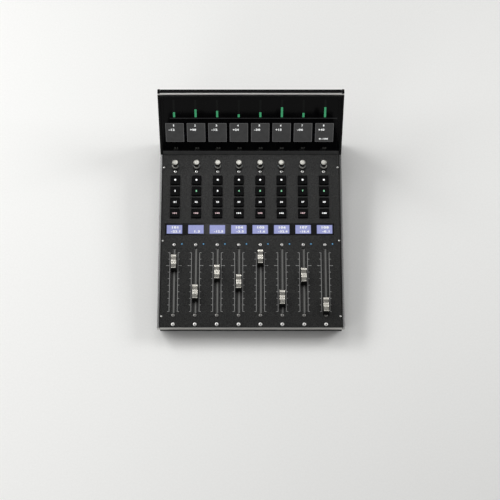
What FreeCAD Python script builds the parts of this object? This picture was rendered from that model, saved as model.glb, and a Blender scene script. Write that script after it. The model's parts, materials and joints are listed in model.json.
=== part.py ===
import FreeCAD, Part
import math
import operator
import os

import Sketcher

# Eight-channel mixing console with motor faders and a raised display hood.
#
# Millimetres, +Z up, X along the row of channels, Y from the player towards the hood.
# The origin is on the surface the console stands on, under the middle of its outline.
# Three slanted frames carry the parts:
#   panel frame  x, u up the slope from the front edge, h square out of the panel
#   face frame   x, v up the hood's face from the panel, w square out of the face
#   ground frame x, y from the front edge, z from the surface below

Vector = FreeCAD.Vector

CHANNELS = 8
BUTTON_ROWS = 4

# Driving dimensions: the sheet's aliases and values, in millimetres and degrees.
SIZES = {
    # Casing
    "body_width": 300.0,
    "front_height": 34.0,
    "panel_slope": 5.0,
    "panel_length": 300.0,
    "panel_sheet": 2.0,
    "panel_lip": 9.5,
    "lip_chamfer": 0.8,
    "face_angle": 69.0,
    "face_length": 131.3,
    "hood_top_depth": 6.0,
    "hood_sheet": 2.0,
    "pan_sheet": 1.5,
    "pan_recess": 10.0,
    "pan_rear_height": 56.0,
    "cheek_thickness": 4.0,
    "cheek_proud": 1.0,
    "cheek_chamfer": 1.0,
    "cheek_ledge": 7.5,
    "ledge_thickness": 3.0,
    "ledge_inset": 15.0,
    "seam": 0.3,
    "drop_in_clearance": 0.2,
    # Channel strips
    "strip_side_margin": 27.5,
    "strip_shift_left": 2.2,
    # Feet
    "foot_height": 6.0,
    "foot_radius": 9.0,
    "foot_inset_x": 26.0,
    "foot_inset_y": 32.0,
    # Faders
    "fader_front_margin": 30.0,
    "fader_rear_margin": 170.0,
    "slot_overrun": 4.9,
    "slot_width": 4.3,
    "lever_thickness": 1.2,
    "lever_width": 8.0,
    "lever_top": 9.0,
    "lever_clearance": 0.05,
    "carriage_length": 12.0,
    "carriage_width": 11.0,
    "carriage_depth": 12.0,
    "carriage_height": 7.0,
    "rod_radius": 1.5,
    "rod_spacing": 7.0,
    "rod_clearance": 0.08,
    "frame_width": 15.0,
    "frame_depth": 22.0,
    "frame_wall": 1.0,
    "frame_slit_gap": 0.2,
    "frame_slit_overrun": 0.6,
    "frame_front_reach": 14.0,
    "frame_rear_reach": 16.0,
    "frame_stop_gap": 0.3,
    "pulley_radius": 4.0,
    "pulley_height": 2.4,
    "belt_thickness": 0.8,
    "belt_gap": 0.6,
    "motor_radius": 7.0,
    "motor_length": 12.5,
    # Fader caps
    "cap_bottom": 1.6,
    "cap_height": 13.0,
    "cap_skirt_length": 26.0,
    "cap_crown_length": 21.5,
    "cap_skirt_width": 11.0,
    "cap_crown_width": 8.8,
    "cap_dip": 1.8,
    "cap_ridge": 1.2,
    # Encoder knobs
    "knob_rear_margin": 20.5,
    "knob_bottom": 1.9,
    "knob_skirt_radius": 6.0,
    "knob_skirt_height": 1.6,
    "knob_waist_radius": 3.9,
    "knob_top_radius": 4.7,
    "knob_top": 16.5,
    "knob_top_height": 3.2,
    "shaft_radius": 3.0,
    "shaft_clearance": 0.06,
    "bush_radius": 3.6,
    "bush_top": 1.6,
    "bush_hole_clearance": 0.3,
    "encoder_side": 12.0,
    "encoder_depth": 2.4,
    # Buttons
    "button_rear_margin": 104.8,
    "button_pitch": 19.6,
    "button_side": 15.5,
    "button_proud": 3.0,
    "button_chamfer": 0.6,
    "button_gap": 0.3,
    "button_flange": 1.0,
    "button_travel": 1.0,
    "button_stem_radius": 2.5,
    "button_stem_depth": 4.6,
    "switch_side": 6.0,
    "switch_gap": 0.2,
    # Scribble strip
    "strip_glass_rear_margin": 132.0,
    "strip_glass_side_margin": 12.0,
    "strip_glass_height": 20.0,
    "strip_lcd_gap": 8.5,
    "strip_lcd_height": 18.0,
    # Channel lamps
    "lamp_rear_margin": 157.5,
    "lamp_side_step": 12.5,
    "lamp_radius": 1.5,
    "lamp_sunk": 0.2,
    # Circuit boards
    "board_sheet": 1.6,
    "control_board_depth": 8.0,
    "control_board_front_margin": 162.5,
    "control_board_rear_margin": 8.0,
    "board_side_gap": 1.0,
    "notch_rear_margin": 148.0,
    "notch_width": 19.0,
    "spacer_radius": 3.0,
    # Hood display
    "glass_low_v": 11.0,
    "glass_high_margin": 10.3,
    "glass_side": 8.5,
    "tile_v": 48.1,
    "tile_gap": 4.6,
    "tile_height": 40.6,
    "meter_tile_gap": 11.6,
    "meter_high_margin": 13.3,
    "meter_width": 6.0,
    "module_thickness": 3.5,
    "display_board_low_v": 2.5,
    "display_board_high_margin": 15.3,
    "hood_spacer_v": 6.0,
    "hood_spacer_radius": 2.5,
    "hood_spacer_edge": 21.5,
    # Main board and rear sockets
    "main_board_width": 250.0,
    "main_board_length": 120.0,
    "main_board_gap": 2.0,
    "main_board_lift": 6.0,
    "pillar_radius": 3.5,
    "pillar_edge": 12.0,
    "jack_left": 95.0,
    "jack_lift": 8.0,
    "jack_bore_radius": 3.2,
    "jack_nose_radius": 4.8,
    "jack_nose_length": 4.0,
    "jack_side": 14.0,
    "jack_length": 28.0,
    "usb_left": 55.0,
    "usb_width": 9.0,
    "usb_height": 3.4,
    "usb_length": 8.0,
    "usb_port_wall": 0.4,
    "usb_port_depth": 6.0,
    "power_left": 20.0,
    "power_side": 11.0,
    "power_length": 14.0,
    "power_bore_radius": 3.0,
    "power_pin_radius": 1.05,
    "power_bore_depth": 9.0,
    "socket_hole_clearance": 0.4,
    "chip_height": 1.6,
    "chip_side": 22.0,
    "chip_step": 45.0,
    # Fasteners
    "screw_shank_radius": 1.5,
    "screw_hole_clearance": 0.1,
    "screw_length": 7.0,
    "screw_head_radius": 2.7,
    "screw_head_height": 1.3,
    "screw_head_bevel": 0.5,
    "ring_screw_radius": 3.0,
    "ring_socket_radius": 1.6,
    "ring_socket_depth": 1.0,
    "side_screw_radius": 1.75,
    "side_screw_shank": 1.0,
    "side_screw_edge": 2.2,
    "front_screw_u": 6.0,
    "low_screw_reach": 8.9,
    "high_screw_reach": 11.0,
    "board_screw_rear_margin": 30.6,
    "side_screw_low_u": 19.5,
    "side_screw_mid_margin": 152.0,
    "side_screw_high_margin": 23.0,
}

# Where each fader stands, as a share of its travel from the lower stop, channel 1 at the left.
FADER_SHARES = (0.774, 0.266, 0.599, 0.436, 0.859, 0.17, 0.546, 0.048)


class Size:
    """A length or angle: the expression that binds it to the sheet, and its value now."""

    def __init__(self, text, value):
        self.text = text
        self.value = value

    def join(self, other, sign, work, swap=False):
        other = as_size(other)
        first, second = (other, self) if swap else (self, other)
        return Size(f"({first.text} {sign} {second.text})", work(first.value, second.value))

    def __add__(self, other):
        return self.join(other, "+", operator.add)

    def __radd__(self, other):
        return self.join(other, "+", operator.add, swap=True)

    def __sub__(self, other):
        return self.join(other, "-", operator.sub)

    def __rsub__(self, other):
        return self.join(other, "-", operator.sub, swap=True)

    def __mul__(self, other):
        return self.join(other, "*", operator.mul)

    def __rmul__(self, other):
        return self.join(other, "*", operator.mul, swap=True)

    def __truediv__(self, other):
        return self.join(other, "/", operator.truediv)

    def __neg__(self):
        return Size(f"(-{self.text})", -self.value)


def as_size(value):
    return value if isinstance(value, Size) else Size(repr(float(value)), float(value))


def sin(angle):
    return Size(f"sin({angle.text})", math.sin(math.radians(angle.value)))


def cos(angle):
    return Size(f"cos({angle.text})", math.cos(math.radians(angle.value)))


def tan(angle):
    return Size(f"tan({angle.text})", math.tan(math.radians(angle.value)))


def make_sheet(document):
    """Fill the spreadsheet that drives the model, and return its cells as Size objects."""
    sheet = document.addObject("Spreadsheet::Sheet", "sizes")
    cells = {}
    for row, (alias, value) in enumerate(SIZES.items(), start=1):
        sheet.set(f"A{row}", alias)
        sheet.set(f"B{row}", str(value))
        sheet.setAlias(f"B{row}", alias)
        cells[alias] = Size(f"sizes.{alias}", value)
    document.recompute()
    return cells


doc = FreeCAD.newDocument("MixingConsole")
S = make_sheet(doc)

# Worked-out lengths that several parts share.
SLOPE = S["panel_slope"]
LEAN = S["face_angle"]
PANEL_WIDTH = S["body_width"] - 2 * (S["cheek_thickness"] + S["seam"])
PANEL_REAR_Y = S["panel_length"] * cos(SLOPE)
PANEL_REAR_Z = S["front_height"] + S["panel_length"] * sin(SLOPE)
HOOD_TOP_Z = PANEL_REAR_Z + S["face_length"] * sin(LEAN)
DEPTH = PANEL_REAR_Y + S["face_length"] * cos(LEAN) + S["hood_top_depth"]
FRONT_Y = -(DEPTH - S["cheek_proud"] * sin(SLOPE)) / 2
PANEL_UNDER = -S["panel_sheet"]
FLOOR_TOP = S["foot_height"] + S["pan_sheet"]
STRIP_PITCH = (S["body_width"] - 2 * S["strip_side_margin"]) / (CHANNELS - 1)
STRIP_SHIFT = -S["strip_shift_left"]
SIDE_SCREW_X = PANEL_WIDTH / 2 - S["side_screw_edge"]
CARRIAGE_HALF = S["carriage_length"] / 2
CARRIAGE_TOP = -S["carriage_depth"]
CARRIAGE_BOTTOM = CARRIAGE_TOP - S["carriage_height"]
ROD_H = CARRIAGE_TOP - S["carriage_height"] / 2
STEM_BOTTOM = -S["button_stem_depth"]
ENCODER_TOP = -S["encoder_depth"]
CONTROL_BOARD_TOP = -S["control_board_depth"]
CONTROL_BOARD_WIDTH = PANEL_WIDTH - 2 * (S["cheek_ledge"] + S["board_side_gap"])
GLASS_WIDTH = S["body_width"] - 2 * S["glass_side"]
STRIP_GLASS_WIDTH = S["body_width"] - 2 * S["strip_glass_side_margin"]
SCREW_HOLE = S["screw_shank_radius"] + S["screw_hole_clearance"]
MAIN_BOARD_TOP = FLOOR_TOP + S["main_board_lift"] + S["board_sheet"]
JACK_Z = MAIN_BOARD_TOP + S["jack_lift"]


def from_rear(margin):
    """The u of what keeps its distance from the panel's rear edge."""
    return S["panel_length"] - S[margin]


KNOB_U = from_rear("knob_rear_margin")
BOARD_SCREW_U = from_rear("board_screw_rear_margin")
BUTTON_FIRST_U = from_rear("button_rear_margin")
STRIP_GLASS_U = from_rear("strip_glass_rear_margin")
LAMP_U = from_rear("lamp_rear_margin")
SIDE_SCREW_ROWS = [S["side_screw_low_u"], from_rear("side_screw_mid_margin"),
                   from_rear("side_screw_high_margin")]

# Places along a fader, which is as long as the panel leaves room for.
FADER_LOW_U = S["fader_front_margin"]
FADER_HIGH_U = from_rear("fader_rear_margin")
FADER_TRAVEL = FADER_HIGH_U - FADER_LOW_U
CHANNEL_LOW_U = FADER_LOW_U - CARRIAGE_HALF - S["frame_stop_gap"]
CHANNEL_HIGH_U = FADER_HIGH_U + CARRIAGE_HALF + S["frame_stop_gap"]
LOW_SCREW_U = FADER_LOW_U - S["low_screw_reach"]
HIGH_SCREW_U = FADER_HIGH_U + S["high_screw_reach"]

# Places up the hood's face.
GLASS_HIGH_V = S["face_length"] - S["glass_high_margin"]
METER_LOW_V = S["tile_v"] + S["tile_height"] / 2 + S["meter_tile_gap"]
METER_HIGH_V = S["face_length"] - S["meter_high_margin"]


def strip_x(channel):
    """The X of a channel's middle line, for channel 0 at the left to 7 at the right."""
    return STRIP_SHIFT + (channel - (CHANNELS - 1) / 2) * STRIP_PITCH


# ---------------------------------------------------------------- document helpers

def bind(thing, **properties):
    """Bind an object's properties to the sheet."""
    for name, size in properties.items():
        thing.setExpression(name, as_size(size).text)
    return thing


def place(thing, x=0, y=0, z=0, tilt=None):
    """Put an object at a point, leaning back about X by the angle tilt."""
    if tilt is not None:
        thing.Placement = FreeCAD.Placement(Vector(), FreeCAD.Rotation(Vector(1, 0, 0), tilt.value))
        thing.setExpression("Placement.Rotation.Angle", tilt.text)
    for axis, size in (("x", x), ("y", y), ("z", z)):
        thing.setExpression(f"Placement.Base.{axis}", as_size(size).text)
    return thing


def on_panel(thing, x=0, u=0):
    """Put an object made in the panel frame at x, u on the panel."""
    u = as_size(u)
    return place(thing, x, FRONT_Y + u * cos(SLOPE), S["front_height"] + u * sin(SLOPE), SLOPE)


def on_face(thing):
    """Put an object made in the face frame on the hood."""
    return place(thing, 0, FRONT_Y + PANEL_REAR_Y, PANEL_REAR_Z, LEAN)


def on_ground(thing):
    """Put an object made in the ground frame."""
    return place(thing, 0, FRONT_Y, 0)


def box(name, x, y, z, length, width, height):
    """A box that is centred on x, starts at y and z, and is length by width by height."""
    block = doc.addObject("Part::Box", name)
    bind(block, Length=length, Width=width, Height=height)
    return place(block, as_size(x) - as_size(length) / 2, y, z)


def cylinder(name, x, y, z, radius, height, tilt=None):
    """A cylinder that stands on x, y, z; a tilt of -90 lays it along +Y."""
    post = doc.addObject("Part::Cylinder", name)
    bind(post, Radius=radius, Height=height)
    return place(post, x, y, z, tilt)


ALONG_Y = as_size(-90)


def cut(name, base, tools):
    """Take the tools out of the base."""
    tool = tools[0] if len(tools) == 1 else join(name + "_tools", tools)
    result = doc.addObject("Part::Cut", name)
    result.Base = base
    result.Tool = tool
    return result


def join(name, parts):
    """Join solids that touch into one."""
    result = doc.addObject("Part::MultiFuse", name)
    result.Shapes = parts
    return result


def group(label, parts):
    """Keep separate solids together as one sub-part."""
    result = doc.addObject("Part::Compound", label)
    result.Links = parts
    return result


def new_body(name):
    return doc.addObject("PartDesign::Body", name)


def sketch(body, name, role, lift=None):
    """A sketch on one of the body's own origin planes, moved along its normal by lift."""
    drawing = body.newObject("Sketcher::SketchObject", name)
    plane = next(item for item in body.Origin.OriginFeatures if item.Role == role)
    drawing.AttachmentSupport = [(plane, "")]
    drawing.MapMode = "FlatFace"
    if lift is not None:
        drawing.setExpression("AttachmentOffset.Base.z", as_size(lift).text)
    return drawing


def pin_point(drawing, line, vertex, x, y):
    """Tie one point of a sketch's line or circle to the sketch's origin."""
    for kind, size in (("DistanceX", x), ("DistanceY", y)):
        number = drawing.addConstraint(Sketcher.Constraint(kind, -1, 1, line, vertex, size.value))
        drawing.setExpression(f"Constraints[{number}]", size.text)


def polygon(drawing, points):
    """Draw a closed outline through the points."""
    points = [(as_size(x), as_size(y)) for x, y in points]
    first = drawing.GeometryCount
    corners = [Vector(x.value, y.value, 0) for x, y in points]
    for start, end in zip(corners, corners[1:] + corners[:1]):
        drawing.addGeometry(Part.LineSegment(start, end), False)
    for index, (x, y) in enumerate(points):
        following = (index + 1) % len(points)
        drawing.addConstraint(Sketcher.Constraint("Coincident", first + index, 2, first + following, 1))
        pin_point(drawing, first + index, 1, x, y)


def rectangle(drawing, x, y, width, height):
    """Draw a rectangle centred on x, y."""
    left, right = x - width / 2, x + width / 2
    low, high = y - height / 2, y + height / 2
    polygon(drawing, [(left, low), (right, low), (right, high), (left, high)])


def circle(drawing, x, y, radius):
    x, y = as_size(x), as_size(y)
    number = drawing.addGeometry(Part.Circle(Vector(x.value, y.value, 0), Vector(0, 0, 1), radius.value))
    pin_point(drawing, number, 3, x, y)
    rule = drawing.addConstraint(Sketcher.Constraint("Radius", number, radius.value))
    drawing.setExpression(f"Constraints[{rule}]", radius.text)


def pad(body, name, drawing, length, symmetric=False, backwards=False):
    feature = body.newObject("PartDesign::Pad", name)
    feature.Profile = drawing
    feature.Midplane = symmetric
    feature.Reversed = backwards
    return bind(feature, Length=length)


def pocket(body, name, drawing, length, backwards=False):
    """Cut against the sketch's normal, or along it when backwards."""
    feature = body.newObject("PartDesign::Pocket", name)
    feature.Profile = drawing
    feature.Reversed = backwards
    return bind(feature, Length=length)


def pocket_through(body, name, drawing):
    """Cut the whole body both ways from the sketch."""
    feature = body.newObject("PartDesign::Pocket", name)
    feature.Profile = drawing
    feature.Type = "ThroughAll"
    feature.Midplane = True
    return feature


def revolve(body, name, drawing):
    """Turn a half section round the sketch's upright axis."""
    feature = body.newObject("PartDesign::Revolution", name)
    feature.Profile = drawing
    feature.ReferenceAxis = (drawing, ["V_Axis"])
    feature.Angle = 360
    return feature


def chamfer(body, name, base, edges, size):
    """Bevel the named edges, or the edges round the named faces, of a finished feature."""
    feature = body.newObject("PartDesign::Chamfer", name)
    feature.Base = (base, edges)
    bind(feature, Size=size)
    body.Tip = feature
    return feature


def repeat(body, name, features, drawing, rows=1):
    """Repeat features once per channel along X, and in rows one button pitch apart."""
    pattern = body.newObject("PartDesign::LinearPattern", name)
    pattern.Originals = features
    pattern.Direction = (drawing, ["H_Axis"])
    pattern.Mode = "Spacing"
    pattern.Occurrences = CHANNELS
    bind(pattern, Offset=STRIP_PITCH)
    if rows > 1:
        pattern.Direction2 = (drawing, ["V_Axis"])
        pattern.Mode2 = "Extent"
        pattern.Occurrences2 = rows
        bind(pattern, Length2=(rows - 1) * S["button_pitch"])
    body.Tip = pattern
    return pattern


# ---------------------------------------------------------------- casing

def top_panel():
    """The sloping sheet that every control comes through, with its front edge bent down."""
    body = new_body("top_panel")
    sheet, lip, bevel = S["panel_sheet"], S["panel_lip"], S["lip_chamfer"]
    rear = S["panel_length"] - S["seam"]
    section = sketch(body, "panel_section", "YZ_Plane")
    polygon(section, [(bevel, 0), (rear, 0), (rear, -sheet), (sheet, -sheet), (sheet, -lip), (0, -lip),
                      (0, -bevel)])
    pad(body, "panel_sheet_pad", section, PANEL_WIDTH, symmetric=True)

    first_x = strip_x(0)

    def openings(name, rows=1, **shapes):
        drawing = sketch(body, name + "_outline", "XY_Plane")
        for kind, sizes in shapes.items():
            for size in sizes:
                (rectangle if kind == "rectangles" else circle)(drawing, *size)
        cutter = pocket(body, name, drawing, sheet)
        repeat(body, name + "_row", [cutter], drawing, rows)

    slot_length = FADER_TRAVEL + 2 * S["slot_overrun"]
    slot_middle = FADER_LOW_U + FADER_TRAVEL / 2
    openings("fader_slots", rectangles=[(first_x, slot_middle, S["slot_width"], slot_length)])
    button_hole = S["button_side"] + 2 * S["button_gap"]
    openings("button_holes", rows=BUTTON_ROWS,
             rectangles=[(first_x, BUTTON_FIRST_U, button_hole, button_hole)])
    screw_rows = [S["front_screw_u"], LOW_SCREW_U, HIGH_SCREW_U, BOARD_SCREW_U]
    openings("channel_holes", circles=[
        (first_x, KNOB_U, S["bush_radius"] + S["bush_hole_clearance"]),
        (first_x + S["lamp_side_step"], LAMP_U, S["lamp_radius"] + S["drop_in_clearance"]),
        *[(first_x, u, SCREW_HOLE) for u in screw_rows]])

    window = sketch(body, "strip_window_outline", "XY_Plane")
    clearance = 2 * S["drop_in_clearance"]
    rectangle(window, STRIP_SHIFT, STRIP_GLASS_U, STRIP_GLASS_WIDTH + clearance,
              S["strip_glass_height"] + clearance)
    pocket(body, "strip_window", window, sheet)

    side_holes = sketch(body, "side_holes_outline", "XY_Plane")
    for u in SIDE_SCREW_ROWS:
        for x in (-SIDE_SCREW_X, SIDE_SCREW_X):
            circle(side_holes, x, u, S["side_screw_shank"] + S["screw_hole_clearance"])
    body.Tip = pocket(body, "side_holes", side_holes, sheet)
    return on_panel(body)


def base_pan():
    """The folded tray: front flange, recessed front wall, floor and rear wall."""
    body = new_body("base_pan")
    wall, recess, foot = S["pan_sheet"], S["pan_recess"], S["foot_height"]
    under = S["panel_sheet"] / cos(SLOPE)

    def below_panel(y, drop):
        """The height of the panel's underside at y, less a drop."""
        return S["front_height"] + y * tan(SLOPE) - under - drop

    flange_y = S["panel_sheet"] + S["panel_lip"] * sin(SLOPE) + S["seam"]
    drop = wall / cos(SLOPE)
    section = sketch(body, "pan_section", "YZ_Plane")
    polygon(section, [
        (flange_y, below_panel(flange_y, 0)),
        (flange_y, below_panel(flange_y, drop)),
        (recess, below_panel(recess, drop)),
        (recess, foot),
        (DEPTH, foot),
        (DEPTH, S["pan_rear_height"]),
        (DEPTH - wall, S["pan_rear_height"]),
        (DEPTH - wall, FLOOR_TOP),
        (recess + wall, FLOOR_TOP),
        (recess + wall, below_panel(recess + wall, 0))])
    pad(body, "pan_sheet_pad", section, PANEL_WIDTH, symmetric=True)

    flange_holes = sketch(body, "flange_holes_outline", "XY_Plane", FLOOR_TOP)
    circle(flange_holes, strip_x(0), S["front_screw_u"] * cos(SLOPE), SCREW_HOLE + S["drop_in_clearance"])
    cutter = pocket(body, "flange_holes", flange_holes, S["front_height"], backwards=True)
    repeat(body, "flange_holes_row", [cutter], flange_holes)

    sockets = sketch(body, "socket_holes_outline", "XZ_Plane", 2 * wall - DEPTH)
    gap = S["socket_hole_clearance"]
    circle(sockets, -S["jack_left"], JACK_Z, S["jack_nose_radius"] + gap)
    rectangle(sockets, -S["usb_left"], MAIN_BOARD_TOP + S["usb_height"] / 2, S["usb_width"] + 2 * gap,
              S["usb_height"] + 2 * gap)
    rectangle(sockets, -S["power_left"], MAIN_BOARD_TOP + S["power_side"] / 2, S["power_side"] + 2 * gap,
              S["power_side"] + 2 * gap)
    body.Tip = pocket(body, "socket_holes", sockets, 3 * wall)
    return on_ground(body)


def side_cheeks():
    """The two thick L-shaped side plates, each with a ledge that the panel is screwed to."""
    body = new_body("left_cheek")
    proud, lip, length = S["cheek_proud"], S["panel_lip"], S["panel_length"]
    half_turn = (LEAN - SLOPE) / 2
    corner_u = length - proud * tan(half_turn)
    crest = S["face_length"] + proud * (1 - cos(LEAN)) / sin(LEAN)

    def from_panel(u, h):
        return u * cos(SLOPE) - h * sin(SLOPE), S["front_height"] + u * sin(SLOPE) + h * cos(SLOPE)

    nothing = as_size(0)
    outline = sketch(body, "cheek_outline", "YZ_Plane", -S["body_width"] / 2)
    polygon(outline, [
        from_panel(nothing, proud),
        from_panel(nothing, -lip),
        (S["pan_recess"], S["foot_height"]),
        (DEPTH, S["foot_height"]),
        (DEPTH, HOOD_TOP_Z + proud),
        (PANEL_REAR_Y + crest * cos(LEAN) - proud * sin(LEAN), HOOD_TOP_Z + proud),
        from_panel(corner_u, proud)])
    pad(body, "cheek_plate", outline, S["cheek_thickness"])

    ledge_low = PANEL_UNDER - S["ledge_thickness"]
    ledge_rear = length - S["ledge_inset"]
    ledge = sketch(body, "ledge_section", "YZ_Plane", S["cheek_thickness"] - S["body_width"] / 2)
    polygon(ledge, [
        from_panel(S["ledge_inset"], PANEL_UNDER),
        from_panel(S["ledge_inset"], ledge_low),
        from_panel(ledge_rear, ledge_low),
        from_panel(ledge_rear, PANEL_UNDER)])
    plate_and_ledge = pad(body, "panel_ledge", ledge, S["cheek_ledge"])

    doc.recompute()
    edges = upper_outer_edges(plate_and_ledge.Shape)
    chamfer(body, "cheek_bevel", plate_and_ledge, edges, S["cheek_chamfer"])

    screw_wells = []
    for number, u in enumerate(SIDE_SCREW_ROWS, start=1):
        y, z = from_panel(u, ledge_low - S["ledge_thickness"])
        radius = S["side_screw_shank"] + S["screw_hole_clearance"]
        screw_wells.append(cylinder(f"ledge_hole_{number}", -SIDE_SCREW_X, y, z, radius,
                                    3 * S["ledge_thickness"], SLOPE))
    left = cut("left_cheek_drilled", body, screw_wells)
    right = doc.addObject("Part::Mirroring", "right_cheek")
    right.Source = left
    right.Normal = (1, 0, 0)
    return on_ground(group("side_cheeks", [left, right]))


def upper_outer_edges(shape):
    """The cheek's outer edges along the panel, the hood's face and the hood's top."""
    outside = min(vertex.X for vertex in shape.Vertexes)
    lip_z = S["front_height"].value
    names = []
    for number, edge in enumerate(shape.Edges, start=1):
        ends = [vertex.Point for vertex in edge.Vertexes]
        is_outer = all(abs(point.x - outside) < 0.001 for point in ends)
        is_upper = all(point.z > lip_z for point in ends)
        if is_outer and is_upper:
            names.append(f"Edge{number}")
    return names


def display_hood():
    """The upright shell behind the panel: framed face, narrow top and rear wall."""
    body = new_body("display_hood")
    sheet, length, top = S["hood_sheet"], S["face_length"], S["hood_top_depth"]
    rear_drop = HOOD_TOP_Z - S["pan_rear_height"] - S["seam"]
    up = (sin(LEAN), cos(LEAN))
    back = (cos(LEAN), -sin(LEAN))
    rear_v, rear_w = length + top * back[0], top * back[1]
    foot_v, foot_w = rear_v - rear_drop * up[0], rear_w - rear_drop * up[1]
    section = sketch(body, "hood_section", "YZ_Plane")
    polygon(section, [
        (0, 0),
        (length, 0),
        (rear_v, rear_w),
        (foot_v, foot_w),
        (foot_v - sheet * back[0], foot_w - sheet * back[1]),
        (rear_v - sheet * (back[0] + up[0]), rear_w - sheet * (back[1] + up[1])),
        (length - sheet * (1 - cos(LEAN)) / sin(LEAN), -sheet),
        (0, -sheet)])
    pad(body, "hood_sheet_pad", section, PANEL_WIDTH, symmetric=True)
    window = sketch(body, "glass_window_outline", "XY_Plane")
    low, high = S["glass_low_v"], GLASS_HIGH_V
    rectangle(window, as_size(0), (low + high) / 2, GLASS_WIDTH, high - low)
    body.Tip = pocket(body, "glass_window", window, sheet)
    return on_face(body)


def display_glass():
    """The dark sheet of glass that fills the hood's window."""
    gap = S["drop_in_clearance"]
    return on_face(group("display_glass", [
        box("hood_glass", 0, S["glass_low_v"] + gap, -S["hood_sheet"], GLASS_WIDTH - 2 * gap,
            GLASS_HIGH_V - S["glass_low_v"] - 2 * gap, S["hood_sheet"])]))


def feet():
    """Four round rubber feet under the corners of the tray."""
    body = new_body("feet")
    outline = sketch(body, "feet_outline", "XY_Plane")
    step_x = S["body_width"] / 2 - S["foot_inset_x"]
    for x in (-step_x, step_x):
        for y in (S["foot_inset_y"], DEPTH - S["foot_inset_y"]):
            circle(outline, x, y, S["foot_radius"])
    body.Tip = pad(body, "feet_pad", outline, S["foot_height"])
    return on_ground(body)


# ---------------------------------------------------------------- electronics

def display_board():
    """The hood's circuit board, with a tile display and a meter for each channel."""
    glass_back = -S["hood_sheet"]
    board_top = glass_back - S["module_thickness"]
    board_length = S["face_length"] - S["display_board_high_margin"] - S["display_board_low_v"]
    parts = [box("display_board_sheet", 0, S["display_board_low_v"], board_top - S["board_sheet"],
                 GLASS_WIDTH, board_length, S["board_sheet"])]
    for channel in range(CHANNELS):
        x = strip_x(channel)
        parts.append(box(f"tile_{channel + 1}", x, S["tile_v"] - S["tile_height"] / 2, board_top,
                         STRIP_PITCH - S["tile_gap"], S["tile_height"], S["module_thickness"]))
        parts.append(box(f"meter_{channel + 1}", x, METER_LOW_V, board_top, S["meter_width"],
                         METER_HIGH_V - METER_LOW_V, S["module_thickness"]))
    spacer_reach = GLASS_WIDTH / 2 - S["hood_spacer_edge"]
    for number, side in enumerate((-1, 0, 1), start=1):
        parts.append(cylinder(f"hood_spacer_{number}", side * spacer_reach, S["hood_spacer_v"],
                              board_top, S["hood_spacer_radius"], S["module_thickness"]))
    return on_face(group("display_board", parts))


def scribble_displays():
    """The black glass strip across the panel and the small display behind it on each channel."""
    low = STRIP_GLASS_U - S["strip_glass_height"] / 2
    parts = [box("strip_glass", STRIP_SHIFT, low, PANEL_UNDER, STRIP_GLASS_WIDTH,
                 S["strip_glass_height"], S["panel_sheet"])]
    lcd_low = STRIP_GLASS_U - S["strip_lcd_height"] / 2
    for channel in range(CHANNELS):
        parts.append(box(f"strip_lcd_{channel + 1}", strip_x(channel), lcd_low, CONTROL_BOARD_TOP,
                         STRIP_PITCH - S["strip_lcd_gap"], S["strip_lcd_height"],
                         PANEL_UNDER - CONTROL_BOARD_TOP))
    return on_panel(group("scribble_displays", parts))


def control_board():
    """The board under the panel: push switches, encoders, channel lamps and its spacers."""
    front, rear = from_rear("control_board_front_margin"), from_rear("control_board_rear_margin")
    blank = box("control_board_blank", 0, front, CONTROL_BOARD_TOP - S["board_sheet"],
                CONTROL_BOARD_WIDTH, rear - front, S["board_sheet"])
    notches = [box(f"board_notch_{channel + 1}", strip_x(channel), front - S["board_sheet"],
                   CONTROL_BOARD_TOP - 2 * S["board_sheet"], S["notch_width"],
                   from_rear("notch_rear_margin") - front + S["board_sheet"], 3 * S["board_sheet"])
               for channel in range(CHANNELS)]
    parts = [cut("control_board_sheet", blank, notches)]

    switch_top = STEM_BOTTOM - S["button_travel"] - S["switch_gap"]
    side = S["switch_side"]
    spacer_height = PANEL_UNDER - CONTROL_BOARD_TOP
    for channel in range(CHANNELS):
        x = strip_x(channel)
        label = channel + 1
        for row in range(BUTTON_ROWS):
            u = BUTTON_FIRST_U + row * S["button_pitch"]
            parts.append(box(f"switch_{row + 1}_{label}", x, u - side / 2, CONTROL_BOARD_TOP, side, side,
                             switch_top - CONTROL_BOARD_TOP))
        parts.append(encoder(label, x))
        parts.append(cylinder(f"lamp_{label}", x + S["lamp_side_step"], LAMP_U, CONTROL_BOARD_TOP,
                              S["lamp_radius"], S["control_board_depth"] - S["lamp_sunk"]))
        spacer = cylinder(f"spacer_post_{label}", x, BOARD_SCREW_U, CONTROL_BOARD_TOP,
                          S["spacer_radius"], spacer_height)
        bore = cylinder(f"spacer_bore_{label}", x, BOARD_SCREW_U, CONTROL_BOARD_TOP, SCREW_HOLE,
                        spacer_height)
        parts.append(cut(f"spacer_{label}", spacer, [bore]))
    return on_panel(group("control_board", parts))


def encoder(label, x):
    """A rotary encoder: square housing and the bush that its shaft turns in."""
    side = S["encoder_side"]
    housing = box(f"encoder_housing_{label}", x, KNOB_U - side / 2, CONTROL_BOARD_TOP, side, side,
                  ENCODER_TOP - CONTROL_BOARD_TOP)
    bush = cylinder(f"encoder_bush_{label}", x, KNOB_U, ENCODER_TOP, S["bush_radius"],
                    S["bush_top"] - ENCODER_TOP)
    shell = join(f"encoder_shell_{label}", [housing, bush])
    bore = cylinder(f"encoder_bore_{label}", x, KNOB_U, CONTROL_BOARD_TOP + S["board_sheet"],
                    S["shaft_radius"] + S["shaft_clearance"], S["control_board_depth"])
    return cut(f"encoder_{label}", shell, [bore])


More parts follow.
